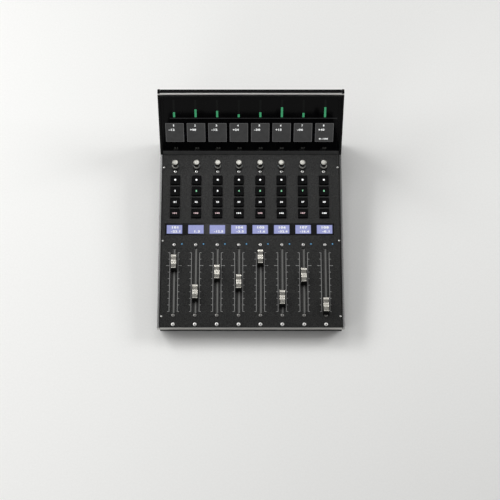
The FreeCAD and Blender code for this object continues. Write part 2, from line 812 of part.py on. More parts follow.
def fader_units():
    """The fixed works of each motor fader: slit frame, rods, pulleys, belt and motor."""
    parts = []
    frame_low = PANEL_UNDER - S["frame_depth"]
    inner_low = frame_low + S["frame_wall"]
    inner_height = S["frame_depth"] - 2 * S["frame_wall"]
    frame_front = FADER_LOW_U - S["frame_front_reach"]
    frame_rear = FADER_HIGH_U + S["frame_rear_reach"]
    slit_overrun = S["lever_width"] / 2 + S["frame_slit_overrun"]
    inner_length = CHANNEL_HIGH_U - CHANNEL_LOW_U
    pulley_edge = S["pulley_radius"] + S["belt_thickness"] + S["frame_wall"]
    low_u, high_u = CHANNEL_LOW_U + pulley_edge, CHANNEL_HIGH_U - pulley_edge
    pulley_z = CARRIAGE_BOTTOM - S["belt_gap"] - S["pulley_height"]
    for channel in range(CHANNELS):
        x = strip_x(channel)
        label = channel + 1
        blank = box(f"frame_blank_{label}", x, frame_front, frame_low, S["frame_width"],
                    frame_rear - frame_front, S["frame_depth"])
        hollow = box(f"frame_hollow_{label}", x, CHANNEL_LOW_U, inner_low,
                     S["frame_width"] - 2 * S["frame_wall"], inner_length, inner_height)
        slit = box(f"frame_slit_{label}", x, FADER_LOW_U - slit_overrun,
                   PANEL_UNDER - 2 * S["frame_wall"], S["lever_thickness"] + 2 * S["frame_slit_gap"],
                   FADER_TRAVEL + 2 * slit_overrun, 3 * S["frame_wall"])
        taps = [cylinder(f"frame_tap_{end}_{label}", x, u, PANEL_UNDER - S["screw_length"], SCREW_HOLE,
                         2 * S["screw_length"])
                for end, u in (("low", LOW_SCREW_U), ("high", HIGH_SCREW_U))]
        parts.append(cut(f"fader_frame_{label}", blank, [hollow, slit, *taps]))
        for side in (-1, 1):
            parts.append(cylinder(f"rod_{label}_{side + 2}", x + side * S["rod_spacing"] / 2,
                                  CHANNEL_LOW_U, ROD_H, S["rod_radius"], inner_length, ALONG_Y))
        for end, u in (("front", low_u), ("rear", high_u)):
            parts.append(cylinder(f"{end}_pulley_{label}", x, u, pulley_z, S["pulley_radius"],
                                  S["pulley_height"]))
        parts.append(belt(label, x, low_u, high_u, pulley_z))
        parts.append(cylinder(f"motor_{label}", x, high_u, frame_low - S["motor_length"],
                              S["motor_radius"], S["motor_length"]))
    return on_panel(group("fader_units", parts))


def belt(label, x, low_u, high_u, z):
    """A flat closed belt round the two pulleys."""
    inner = S["pulley_radius"]
    outer = inner + S["belt_thickness"]
    loops = []
    for name, radius in (("outer", outer), ("inner", inner)):
        ends = [cylinder(f"belt_{name}_{place_name}_{label}", x, u, z, radius, S["pulley_height"])
                for place_name, u in (("front", low_u), ("rear", high_u))]
        run = box(f"belt_{name}_run_{label}", x, low_u, z, 2 * radius, high_u - low_u,
                  S["pulley_height"])
        loops.append(join(f"belt_{name}_{label}", [*ends, run]))
    return cut(f"belt_{label}", loops[0], [loops[1]])


def main_board():
    """The board on the floor of the tray, its pillars, chips and rear sockets."""
    sheet = S["board_sheet"]
    board_z = FLOOR_TOP + S["main_board_lift"]
    wall_inside = DEPTH - S["pan_sheet"]
    rear_y = wall_inside - S["main_board_gap"]
    front_y = rear_y - S["main_board_length"]
    parts = [box("main_board_sheet", 0, front_y, board_z, S["main_board_width"], S["main_board_length"],
                 sheet)]
    reach = S["main_board_width"] / 2 - S["pillar_edge"]
    for column, side in enumerate((-1, 0, 1), start=1):
        for row, y in enumerate((front_y + S["pillar_edge"], rear_y - S["pillar_edge"]), start=1):
            parts.append(cylinder(f"pillar_{column}_{row}", side * reach, y, FLOOR_TOP,
                                  S["pillar_radius"], S["main_board_lift"]))
    for number, side in enumerate((-1, 0, 1), start=1):
        parts.append(box(f"chip_{number}", side * S["chip_step"],
                         front_y + S["main_board_length"] / 3, MAIN_BOARD_TOP, S["chip_side"],
                         S["chip_side"], S["chip_height"]))
    parts += [jack_socket(), usb_socket(), power_socket()]
    return on_ground(group("main_board", parts))


def jack_socket():
    """The 6.35 mm footswitch jack, with its nose through the rear wall."""
    nose_y = DEPTH - S["jack_nose_length"]
    housing = box("jack_housing", -S["jack_left"], nose_y - S["jack_length"], MAIN_BOARD_TOP, S["jack_side"],
                  S["jack_length"], S["jack_lift"] + S["jack_side"] / 2)
    nose = cylinder("jack_nose", -S["jack_left"], nose_y, JACK_Z, S["jack_nose_radius"],
                    S["jack_nose_length"], ALONG_Y)
    bore = cylinder("jack_bore", -S["jack_left"], DEPTH - S["jack_length"], JACK_Z, S["jack_bore_radius"],
                    S["jack_length"], ALONG_Y)
    return cut("jack_socket", join("jack_shell", [housing, nose]), [bore])


def usb_socket():
    """The data socket: a flat shell flush with the rear wall."""
    housing = box("usb_housing", -S["usb_left"], DEPTH - S["usb_length"], MAIN_BOARD_TOP, S["usb_width"],
                  S["usb_length"], S["usb_height"])
    wall = S["usb_port_wall"]
    port = box("usb_port", -S["usb_left"], DEPTH - S["usb_port_depth"], MAIN_BOARD_TOP + wall,
               S["usb_width"] - 2 * wall, S["usb_port_depth"], S["usb_height"] - 2 * wall)
    return cut("usb_socket", housing, [port])


def power_socket():
    """The barrel socket for the power supply, with its centre pin."""
    side = S["power_side"]
    z = MAIN_BOARD_TOP + side / 2
    housing = box("power_housing", -S["power_left"], DEPTH - S["power_length"], MAIN_BOARD_TOP, side,
                  S["power_length"], side)
    start = DEPTH - S["power_bore_depth"]
    bore = cylinder("power_bore", -S["power_left"], start, z, S["power_bore_radius"], S["power_bore_depth"],
                    ALONG_Y)
    pin = cylinder("power_pin", -S["power_left"], start, z, S["power_pin_radius"], S["power_bore_depth"],
                   ALONG_Y)
    return join("power_socket", [cut("power_shell", housing, [bore]), pin])


# ---------------------------------------------------------------- fasteners

def screw_section(drawing, head_radius, shank_radius):
    """Half of a screw: shank below the panel's top, bevelled head above it."""
    height, bevel = S["screw_head_height"], S["screw_head_bevel"]
    length = S["screw_length"]
    polygon(drawing, [(0, -length), (shank_radius, -length), (shank_radius, 0), (head_radius, 0),
                      (head_radius, height - bevel), (head_radius - bevel, height), (0, height)])


def screw_row(name, u, head_radius, socket=False):
    """One screw on every channel's middle line."""
    body = new_body(name)
    section = sketch(body, name + "_section", "XZ_Plane")
    screw_section(section, head_radius, S["screw_shank_radius"])
    features = [revolve(body, name + "_turned", section)]
    if socket:
        drawing = sketch(body, name + "_socket_outline", "XY_Plane", S["screw_head_height"])
        circle(drawing, 0, 0, S["ring_socket_radius"])
        features.append(pocket(body, name + "_socket", drawing, S["ring_socket_depth"]))
    repeat(body, name + "_pattern", features, section)
    return place(body, strip_x(0), u, 0)


def screws():
    """Every visible fastener: four rows across the channels and three down each side."""
    rows = [
        screw_row("front_screws", S["front_screw_u"], S["ring_screw_radius"], socket=True),
        screw_row("low_fader_screws", LOW_SCREW_U, S["screw_head_radius"]),
        screw_row("high_fader_screws", HIGH_SCREW_U, S["screw_head_radius"]),
        screw_row("board_screws", BOARD_SCREW_U, S["screw_head_radius"]),
    ]
    for number, u in enumerate(SIDE_SCREW_ROWS, start=1):
        for side, x in (("left", -SIDE_SCREW_X), ("right", SIDE_SCREW_X)):
            body = new_body(f"{side}_screw_{number}")
            section = sketch(body, f"{side}_screw_section_{number}", "XZ_Plane")
            screw_section(section, S["side_screw_radius"], S["side_screw_shank"])
            body.Tip = revolve(body, f"{side}_screw_turned_{number}", section)
            rows.append(place(body, x, u, 0))
    return on_panel(group("screws", rows))


# ---------------------------------------------------------------- moving controls

def fader(channel):
    """A fader's moving part: cap, lever and the carriage that slides on the rods."""
    label = channel + 1
    top = S["lever_top"]
    lever = box(f"lever_{label}", 0, -S["lever_width"] / 2, CARRIAGE_TOP, S["lever_thickness"],
                S["lever_width"], top - CARRIAGE_TOP)
    block = box(f"carriage_block_{label}", 0, -CARRIAGE_HALF, CARRIAGE_BOTTOM, S["carriage_width"],
                S["carriage_length"], S["carriage_height"])
    rod_holes = [cylinder(f"rod_hole_{label}_{side + 2}", side * S["rod_spacing"] / 2, -CARRIAGE_HALF,
                          ROD_H, S["rod_radius"] + S["rod_clearance"], S["carriage_length"], ALONG_Y)
                 for side in (-1, 1)]
    carriage = cut(f"carriage_{label}", block, rod_holes)
    whole = group(f"fader_{label}", [fader_cap(label, top), lever, carriage])
    return on_panel(whole, strip_x(channel), FADER_LOW_U + FADER_SHARES[channel] * FADER_TRAVEL)


def fader_cap(label, lever_top):
    """The cap: a wedge with a scooped crown and a raised finger ridge across its middle."""
    body = new_body(f"cap_{label}")
    bottom = S["cap_bottom"]
    crest = bottom + S["cap_height"]
    skirt, crown = S["cap_skirt_length"] / 2, S["cap_crown_length"] / 2
    dip, ridge = crest - S["cap_dip"], S["cap_ridge"]
    side = sketch(body, f"cap_side_{label}", "YZ_Plane")
    polygon(side, [
        (-skirt, bottom), (skirt, bottom), (crown, crest), (crown - ridge, crest), (crown / 2, dip),
        (ridge, dip), (ridge / 2, crest), (-ridge / 2, crest), (-ridge, dip), (-crown / 2, dip),
        (ridge - crown, crest), (-crown, crest)])
    pad(body, f"cap_block_{label}", side, S["cap_skirt_width"], symmetric=True)
    taper = sketch(body, f"cap_taper_{label}", "XZ_Plane")
    wide, narrow = S["cap_skirt_width"] / 2, S["cap_crown_width"] / 2
    beyond = wide + S["cap_height"]
    for sign in (-1, 1):
        polygon(taper, [(sign * wide, bottom), (sign * beyond, bottom), (sign * beyond, crest + wide),
                        (sign * narrow, crest + wide), (sign * narrow, crest)])
    body.Tip = pocket_through(body, f"cap_sides_{label}", taper)
    gap = 2 * S["lever_clearance"]
    socket = box(f"cap_socket_{label}", 0, -S["lever_width"] / 2 - S["lever_clearance"], 0,
                 S["lever_thickness"] + gap, S["lever_width"] + gap, lever_top)
    return cut(f"fader_cap_{label}", body, [socket])


def encoder_knob(channel):
    """A turned knob on its shaft: wide skirt, narrow waist and a flat round head."""
    label = channel + 1
    body = new_body(f"knob_{label}")
    low, top = S["knob_bottom"], S["knob_top"]
    bore = S["shaft_radius"] + S["lever_clearance"]
    roof = top - S["knob_top_height"]
    section = sketch(body, f"knob_section_{label}", "XZ_Plane")
    polygon(section, [
        (bore, low), (S["knob_skirt_radius"], low),
        (S["knob_skirt_radius"], low + S["knob_skirt_height"]),
        (S["knob_waist_radius"], low + 2 * S["knob_skirt_height"]), (S["knob_waist_radius"], roof),
        (S["knob_top_radius"], roof), (S["knob_top_radius"], top), (0, top), (0, roof), (bore, roof)])
    body.Tip = revolve(body, f"knob_turned_{label}", section)
    shaft_low = CONTROL_BOARD_TOP + S["board_sheet"] + S["seam"]
    shaft = cylinder(f"knob_shaft_{label}", 0, 0, shaft_low, S["shaft_radius"], roof - shaft_low)
    return on_panel(group(f"encoder_knob_{label}", [body, shaft]), strip_x(channel), KNOB_U)


def button(row, channel):
    """A square push button: bevelled cap, a flange that stops under the panel, and its stem."""
    name = f"button_{row + 1}_{channel + 1}"
    body = new_body(name)
    side = S["button_side"]
    flange_top = PANEL_UNDER - S["button_gap"]
    cap = sketch(body, name + "_cap_outline", "XY_Plane", flange_top)
    rectangle(cap, as_size(0), as_size(0), side, side)
    pad(body, name + "_cap", cap, S["button_proud"] - flange_top)
    flange = sketch(body, name + "_flange_outline", "XY_Plane", flange_top)
    wide = side + 4 * S["button_gap"]
    rectangle(flange, as_size(0), as_size(0), wide, wide)
    pad(body, name + "_flange", flange, S["button_flange"], backwards=True)
    stem = sketch(body, name + "_stem_outline", "XY_Plane", flange_top - S["button_flange"])
    circle(stem, 0, 0, S["button_stem_radius"])
    solid = pad(body, name + "_stem", stem, flange_top - S["button_flange"] - STEM_BOTTOM,
                backwards=True)
    doc.recompute()
    crest = S["button_proud"].value
    top_face = next(f"Face{number}" for number, face in enumerate(solid.Shape.Faces, start=1)
                    if abs(face.BoundBox.ZMin - crest) < 0.001)
    chamfer(body, name + "_bevel", solid, [top_face], S["button_chamfer"])
    return on_panel(body, strip_x(channel), BUTTON_FIRST_U + row * S["button_pitch"])


# ---------------------------------------------------------------- build and write

def build():
    parts = [top_panel(), base_pan(), side_cheeks(), display_hood(), display_glass(), display_board(),
             scribble_displays(), control_board(), fader_units(), main_board(), screws(), feet()]
    for channel in range(CHANNELS):
        parts.append(fader(channel))
        parts.append(encoder_knob(channel))
        for row in range(BUTTON_ROWS):
            parts.append(button(row, channel))
    doc.recompute()
    return parts


def check(parts):
    """Stop before anything is written if an object failed or a sub-part isn't sound."""
    for thing in doc.Objects:
        if "Invalid" in thing.State or "Error" in thing.State:
            raise RuntimeError(f"{thing.Label} failed to build")
    for part in parts:
        if part.Shape.isNull() or not part.Shape.isValid() or not part.Shape.Solids:
            raise RuntimeError(f"{part.Label} has no sound shape")


def write(parts):
    os.makedirs("parts", exist_ok=True)
    for part in parts:
        part.Shape.exportStep(os.path.join("parts", part.Label + ".step"))
        limits = part.Shape.BoundBox
        print(f"{part.Label:20s} {len(part.Shape.Solids):3d} solids  "
              f"x {limits.XMin:8.2f} {limits.XMax:8.2f}  y {limits.YMin:8.2f} {limits.YMax:8.2f}  "
              f"z {limits.ZMin:7.2f} {limits.ZMax:7.2f}")


all_parts = build()
check(all_parts)
write(all_parts)
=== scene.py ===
# %% [markdown]
# Mixing console, dressed in Blender
#
# The console is a sloping charcoal panel with eight channels of controls, and a hood at the
# back that holds the displays. Its construction comes as a fixed frame of CAD nodes; this
# script gives every surface its finish and swaps the plain solids for modelled pieces.
# Everything is in metres. Small pieces are modelled in millimetres at the origin, because
# that is how a maker thinks of a button or a knob, and are scaled when they are put in place.

# %% Load the frame
import json
import math

import bpy
from mathutils import Matrix, Vector


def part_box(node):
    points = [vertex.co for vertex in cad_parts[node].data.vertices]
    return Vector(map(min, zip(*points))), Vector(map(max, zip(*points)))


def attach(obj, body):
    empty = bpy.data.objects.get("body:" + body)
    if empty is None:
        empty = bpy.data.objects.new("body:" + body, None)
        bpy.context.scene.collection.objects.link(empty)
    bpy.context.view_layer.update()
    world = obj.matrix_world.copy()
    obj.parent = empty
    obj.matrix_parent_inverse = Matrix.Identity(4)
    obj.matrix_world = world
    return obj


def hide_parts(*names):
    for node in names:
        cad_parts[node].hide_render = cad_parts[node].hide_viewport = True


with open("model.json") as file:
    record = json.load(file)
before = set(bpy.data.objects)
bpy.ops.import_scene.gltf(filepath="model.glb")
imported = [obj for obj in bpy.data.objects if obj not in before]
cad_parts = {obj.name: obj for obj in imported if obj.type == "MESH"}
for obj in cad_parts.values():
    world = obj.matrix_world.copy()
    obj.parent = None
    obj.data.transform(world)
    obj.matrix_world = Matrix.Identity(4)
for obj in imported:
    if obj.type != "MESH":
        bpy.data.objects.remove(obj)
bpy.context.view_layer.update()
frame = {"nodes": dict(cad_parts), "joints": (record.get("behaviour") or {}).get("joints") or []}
nodes = frame["nodes"]
bpy.ops.object.select_all(action="DESELECT")

# %% [markdown]
# Where things are
#
# Every control stands on the sloping panel, so it helps to speak of places on the panel: x
# across, u up the slope from the front edge, and h straight out of it. The joints of the frame
# already say which way the panel runs and which way is out of it, and each knob's joint gives a
# point on its surface. The hood's face gets the same treatment with x, v and w.

# %% Panel and face places
MM = 0.001
CHANNELS = range(1, 9)
ROWS = range(1, 5)
joints = {joint["name"]: joint for joint in frame["joints"]}
PANEL_ALONG = Vector(joints["fader_1_slide"]["axis"]).normalized()
PANEL_OUT = Vector(joints["encoder_knob_1_turn"]["axis"]).normalized()
SLOPE = math.atan2(PANEL_ALONG.z, PANEL_ALONG.y)

# The knobs stand this far up the slope from the panel's front edge.
KNOB_U = 279.5
PANEL_START = Vector(joints["encoder_knob_1_turn"]["pos_m"]) - PANEL_ALONG * KNOB_U * MM
PANEL_START.x = 0.0


def on_panel(x=0.0, u=0.0, h=0.0):
    """The matrix that puts a piece, modelled in millimetres, at x, u, h on the panel."""
    place = PANEL_START + Vector((x, 0, 0)) * MM + PANEL_ALONG * u * MM + PANEL_OUT * h * MM
    return Matrix.Translation(place) @ Matrix.Rotation(SLOPE, 4, "X") @ Matrix.Scale(MM, 4)


def panel_place(point):
    """The x, u, h of a point in the frame, in millimetres."""
    step = Vector(point) - PANEL_START
    return Vector((step.x, step.dot(PANEL_ALONG), step.dot(PANEL_OUT))) / MM


def middle_u(node):
    """How far up the slope a node's middle is, in millimetres."""
    along = [panel_place(corner.co).y for corner in nodes[node].data.vertices]
    return (min(along) + max(along)) / 2


STRIP_X = {channel: panel_place(joints[f"encoder_knob_{channel}_turn"]["pos_m"]).x
           for channel in CHANNELS}
BUTTON_U = {row: middle_u(f"button_{row}_1") for row in ROWS}
FADER_U = {channel: middle_u(f"fader_{channel}") for channel in CHANNELS}
print("strips at", [round(x, 1) for x in STRIP_X.values()])
print("button rows at", {row: round(u, 1) for row, u in BUTTON_U.items()})

# %% [markdown]
# The hood's face leans back behind the panel. The glass in it is a flat sheet, so the largest
# triangle that looks forward and up on that sheet says which way the face looks. Places on the
# face are counted up from the point of it that is nearest to the panel's rear edge.

# %% The hood's face
glass_low, glass_high = (Vector(corner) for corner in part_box("display_glass"))
glass = nodes["display_glass"].data
front = max(glass.polygons, key=lambda face: face.area * (face.normal.y < 0) * (face.normal.z > 0))
FACE_OUT = front.normal.copy()
FACE_OUT.x = 0.0
FACE_OUT.normalize()
FACE_UP = Vector((0, FACE_OUT.z, -FACE_OUT.y))
LEAN = math.atan2(FACE_UP.z, FACE_UP.y)
face_point = glass.vertices[front.vertices[0]].co.copy()
face_point.x = 0.0
panel_high = Vector(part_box("top_panel")[1])
panel_length = panel_place(Vector((0, panel_high.y, panel_high.z))).y
panel_rear = PANEL_START + PANEL_ALONG * (panel_length * MM)
FACE_START = face_point - FACE_UP * (face_point - panel_rear).dot(FACE_UP)


def on_face(x=0.0, v=0.0, w=0.0):
    """The matrix that puts a piece, modelled in millimetres, at x, v, w on the hood's face."""
    place = FACE_START + Vector((x, 0, 0)) * MM + FACE_UP * v * MM + FACE_OUT * w * MM
    return Matrix.Translation(place) @ Matrix.Rotation(LEAN, 4, "X") @ Matrix.Scale(MM, 4)


def face_place(point):
    """The x, v, w of a point in the frame, in millimetres."""
    step = Vector(point) - FACE_START
    return Vector((step.x, step.dot(FACE_UP), step.dot(FACE_OUT))) / MM


print("face leans", round(math.degrees(LEAN), 2), "degrees; glass runs up",
      round(face_place(glass_low).y, 1), "to", round(face_place(glass_high).y, 1))

# %% [markdown]
# Working by hand
#
# Modelling by hand means: add a simple shape, pick some of its faces or edges, and push, inset or
# bevel them. The same few moves come back all through this script, so each is a small function.
# Picking is done by place and direction, because that is how one would point at a face.

# %% Helpers for shaping
def hold(piece):
    """Make this the one piece that the next operators act on."""
    bpy.ops.object.select_all(action="DESELECT")
    piece.select_set(True)
    bpy.context.view_layer.objects.active = piece


def pick(piece, kind, test):
    """Go to edit mode with only those faces, edges or corners picked that pass the test."""
    hold(piece)
    bpy.ops.object.mode_set(mode="EDIT")
    bpy.ops.mesh.select_mode(type=kind)
    bpy.ops.mesh.select_all(action="DESELECT")
    bpy.ops.object.mode_set(mode="OBJECT")
    mesh = piece.data
    if kind == "FACE":
        for face in mesh.polygons:
            face.select = test(face.center, face.normal)
    elif kind == "EDGE":
        for edge in mesh.edges:
            start, end = (mesh.vertices[corner].co for corner in edge.vertices)
            edge.select = test((start + end) / 2, (end - start).normalized())
    else:
        for corner in mesh.vertices:
            corner.select = test(corner.co, corner.normal)
    bpy.ops.object.mode_set(mode="EDIT")


def everything(spot, way):
    """The test that all faces, edges and corners pass."""
    return True


def push(piece, test, step):
    """Move the corners that pass the test."""
    pick(piece, "VERT", test)
    bpy.ops.transform.translate(value=step)
    bpy.ops.object.mode_set(mode="OBJECT")


def stretch(piece, test, shares, middle=(0, 0, 0)):
    """Stretch the corners that pass the test along x, y and z, away from a middle."""
    pick(piece, "VERT", test)
    bpy.ops.transform.resize(value=shares, center_override=middle)
    bpy.ops.object.mode_set(mode="OBJECT")


def cut(piece, place, way, test=everything):
    """Cut the faces that pass the test along a plane, given by a place on it and its way out."""
    pick(piece, "FACE", test)
    bpy.ops.mesh.bisect(plane_co=place, plane_no=way)
    bpy.ops.object.mode_set(mode="OBJECT")


def bevel(piece, test, width, steps):
    """Round the edges that pass the test."""
    pick(piece, "EDGE", test)
    bpy.ops.mesh.bevel(offset=width, segments=steps, affect="EDGES")
    bpy.ops.object.mode_set(mode="OBJECT")


def done(piece):
    """Turn every face of a finished shape outwards and smooth all but its sharp edges."""
    bpy.ops.object.mode_set(mode="OBJECT")
    pick(piece, "FACE", everything)
    bpy.ops.mesh.normals_make_consistent(inside=False)
    bpy.ops.object.mode_set(mode="OBJECT")
    bpy.ops.object.shade_smooth_by_angle(angle=math.radians(30))
    return piece


print("shaping helpers ready")

# %% [markdown]
# Patterns and pieces
#
# A shape starts as a block between two corners, or as a disc that is turned up ring by ring. What
# repeats is modelled once at the origin, as a pattern, and copied to its places. A piece then
# rides on the body that carries it, so that it moves with it.

# %% Helpers for making and placing
def named(name):
    """Settle the shape that was just added: its place goes into its mesh, and it gets a name."""
    bpy.ops.object.transform_apply(location=True, rotation=True, scale=True)
    piece = bpy.context.object
    piece.name = piece.data.name = name
    return piece


def block(name, low, high):
    """A box between two corners, ready to be shaped."""
    low, high = Vector(low), Vector(high)
    bpy.ops.object.select_all(action="DESELECT")
    bpy.ops.mesh.primitive_cube_add(size=1, location=(low + high) / 2, scale=high - low)
    return named(name)


def turned(name, profile, sides):
    """Turn a shape up from a disc: each step of the profile is a ring of some radius and height."""
    (radius, height), steps = profile[0], profile[1:]
    bpy.ops.object.select_all(action="DESELECT")
    bpy.ops.mesh.primitive_circle_add(vertices=sides, radius=radius, location=(0, 0, height),
                                      fill_type="NGON")
    piece = named(name)
    bpy.ops.object.mode_set(mode="EDIT")
    bpy.ops.mesh.select_mode(type="FACE")
    bpy.ops.mesh.select_all(action="SELECT")
    for new_radius, new_height in steps:
        bpy.ops.mesh.extrude_region_move(
            TRANSFORM_OT_translate={"value": (0, 0, new_height - height)})
        shrink = new_radius / radius
        bpy.ops.transform.resize(value=(shrink, shrink, 1), center_override=(0, 0, new_height))
        radius, height = new_radius, new_height
    return done(piece)


def joined(name, *pieces):
    """Join pieces into one object."""
    bpy.ops.object.select_all(action="DESELECT")
    for piece in pieces:
        piece.select_set(True)
    bpy.context.view_layer.objects.active = pieces[0]
    bpy.ops.object.join()
    piece = bpy.context.object
    piece.name = piece.data.name = name
    return piece


def paint(piece, finish, test=None):
    """Give a piece a finish, all over or on the faces that pass the test."""
    mesh = piece.data
    if finish.name not in mesh.materials:
        mesh.materials.append(finish)
    slot = mesh.materials.find(finish.name)
    for face in mesh.polygons:
        if test is None or test(face.center, face.normal):
            face.material_index = slot
    return piece


def copied(pattern, name, place):
    """A copy of a pattern with a mesh of its own, put in place."""
    mesh = pattern.data.copy()
    mesh.name = name
    mesh.transform(place)
    piece = bpy.data.objects.new(name, mesh)
    bpy.context.collection.objects.link(piece)
    return piece


def set_down(pattern, name, place, body="console"):
    """A copy of a pattern, put in place on the body it moves with."""
    piece = copied(pattern, name, place)
    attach(piece, body)
    return piece


def stands_for(piece, node, body="console"):
    """The piece moves with a body and is shown instead of a CAD node."""
    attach(piece, body)
    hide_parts(node)
    return piece


patterns = []
print("making and placing helpers ready")

# %% [markdown]
# Finishes
#
# Colours are written as sRGB hex values, the way a paint card gives them, and one function turns
# them to the linear numbers that the shader works with. Another adds a node, with its settings
# and its links, so that each finish below reads as a short list of what is on its surface.

# %% Helpers for finishes
def colour(code):
    """The linear colour of an sRGB hex value."""
    parts = [int(code[place:place + 2], 16) / 255 for place in (1, 3, 5)]
    linear = [part / 12.92 if part <= 0.04045 else ((part + 0.055) / 1.055) ** 2.4 for part in parts]
    return (*linear, 1)


def new_finish(name, code, roughness, metallic=0.0, gloss=0.5):
    """A finish with one colour and shine to begin with, and its shader."""
    finish = bpy.data.materials.new(name)
    finish.use_nodes = True
    shader = finish.node_tree.nodes["Principled BSDF"]
    shader.inputs["Base Color"].default_value = colour(code)
    shader.inputs["Roughness"].default_value = roughness
    shader.inputs["Metallic"].default_value = metallic
    shader.inputs["Specular IOR Level"].default_value = gloss
    return finish, shader


def add_node(finish, kind, feed, **settings):
    """Add a node to a finish. Feed gives its inputs a value or a link from another node."""
    node = finish.node_tree.nodes.new(kind)
    for name, value in settings.items():
        setattr(node, name, value)
    for name, value in feed.items():
        if isinstance(value, bpy.types.NodeSocket):
            finish.node_tree.links.new(value, node.inputs[name])
        else:
            node.inputs[name].default_value = value
    return node


def ramp(finish, pattern, *stops):
    """Colours for a pattern: each stop is a value of the pattern and its colour."""
    tone = add_node(finish, "ShaderNodeValToRGB", {"Fac": pattern.outputs["Fac"]})
    for stop, (place, code) in zip(tone.color_ramp.elements, stops):
        stop.position = place
        stop.color = colour(code)
    return tone


def grain(finish, shader, grit, height, light, dark, along=(1, 1, 1), spread=0.2, fine=0.6):
    """Texture a surface with grit of a real size in millimetres, from dark in its dips to light."""
    place = add_node(finish, "ShaderNodeTexCoord", {}).outputs["Object"]
    stretched = add_node(finish, "ShaderNodeMapping", {"Vector": place, "Scale": along})
    noise = add_node(finish, "ShaderNodeTexNoise", {
        "Vector": stretched.outputs[0], "Scale": 1 / (grit * MM), "Detail": 3.0, "Roughness": fine})
    bump = add_node(finish, "ShaderNodeBump", {
        "Height": noise.outputs[0], "Strength": 1.0, "Distance": height * MM})
    finish.node_tree.links.new(bump.outputs[0], shader.inputs["Normal"])
    tone = ramp(finish, noise, (0.5 - spread, dark), (0.5 + spread, light))
    finish.node_tree.links.new(tone.outputs[0], shader.inputs["Base Color"])


print("finish helpers ready")

# %% [markdown]
# Powder coat
#
# Sheet steel is sprayed with dry powder and baked. On the panel the powder is a fine texture:
# grit that sparkles slightly and hides fingerprints. The single grains are about 0.3 mm, too fine
# to show, so their clusters are drawn, up to 1.6 mm wide. The foot of the hood's face is painted a
# lighter grey, a painted light for the light that falls on it from above, and the hood, the cheeks
# and the tray have a blacker satin powder with an orange-peel surface.

# %% Powder-coated steel
textured_powder, shader = new_finish("charcoal_powder_coat", "#1C1C1B", 0.28, gloss=0.24)
grain(textured_powder, shader, grit=1.6, height=0.2, light="#2B2B2A", dark="#000000",
      spread=0.12, fine=0.75)
# The foot's lighter grey is painted light: it stands in for the light falling on the foot from above.
painted_light_powder, shader = new_finish("painted_light_foot_powder", "#40403F", 0.5)
grain(painted_light_powder, shader, grit=0.8, height=0.06, light="#4C4C4B", dark="#333333")
satin_powder, shader = new_finish("satin_black_powder_coat", "#0B0B0C", 0.42, gloss=0.08)
grain(satin_powder, shader, grit=1.2, height=0.02, light="#0E0E0F", dark="#080809")
print("powder coats:", textured_powder.name, painted_light_powder.name, satin_powder.name)

# %% [markdown]
# Bare metals
#
# The console's bright edges are brushed aluminium, clear anodised: the brushing is scratches along
# the bar, so the noise is stretched along X. The caps' crowns are brushed more finely, and the
# knobs' cones polished. The cheeks' edges are anodised black, so they are dark until a lamp is
# mirrored in them. Screws are nickel-plated steel, painted a darker nickel in the row below the
# faders as shade from the caps, and the hidden fader works are zinc plated, which is greyer and
# rougher.

# %% Aluminium and plated steel
brushed_aluminium, shader = new_finish("brushed_anodised_aluminium", "#C8C7C3", 0.34, metallic=1.0)
grain(brushed_aluminium, shader, grit=0.5, height=0.01, light="#D2D1CD", dark="#B4B3AF",
      along=(0.04, 1, 1))
bright_bar, shader = new_finish("bright_anodised_bar", "#E6E5E2", 0.45, metallic=1.0)
grain(bright_bar, shader, grit=0.5, height=0.01, light="#ECEBE8", dark="#DAD9D6",
      along=(0.04, 1, 1))
satin_aluminium, shader = new_finish("satin_cap_aluminium", "#DAD7CE", 0.24, metallic=1.0)
grain(satin_aluminium, shader, grit=0.35, height=0.003, light="#E0DDD4", dark="#D0CDC4",
      along=(0.08, 1, 1))
polished_cone, shader = new_finish("polished_cone_aluminium", "#C4C3BE", 0.26, metallic=1.0)
grain(polished_cone, shader, grit=0.4, height=0.004, light="#CCCBC6", dark="#BAB9B4")
nickel_steel, shader = new_finish("nickel_plated_steel", "#E6E5E2", 0.37, metallic=1.0)
grain(nickel_steel, shader, grit=1.0, height=0.004, light="#EEEDEA", dark="#DAD9D6")
painted_shade_steel, shader = new_finish("painted_shade_nickel_steel", "#8C8B88", 0.42, metallic=1.0)
grain(painted_shade_steel, shader, grit=1.0, height=0.01, light="#9A9996", dark="#7A7976")
bare_edge, shader = new_finish("black_anodised_edge", "#4A4A4A", 0.3, metallic=1.0)
grain(bare_edge, shader, grit=0.5, height=0.004, light="#505050", dark="#434343",
      along=(1, 0.04, 1))
zinc_steel, shader = new_finish("zinc_plated_steel", "#9A9A98", 0.45, metallic=1.0)
grain(zinc_steel, shader, grit=1.5, height=0.01, light="#A8A8A6", dark="#858583")
print("metals ready")

# %% [markdown]
# Turned knob tops
#
# The cutter leaves rings round the knob's own middle. Object coordinates start at the console's
# origin, so the knob carries a UV map with its middle at the centre, and the rings follow that.

# %% Turned aluminium
turned_aluminium, shader = new_finish("turned_aluminium", "#A9A8A2", 0.3, metallic=1.0)
flat = add_node(turned_aluminium, "ShaderNodeUVMap", {}, uv_map="turning")
centred = add_node(turned_aluminium, "ShaderNodeMapping", {
    "Vector": flat.outputs[0], "Location": (-0.5, -0.5, 0)})
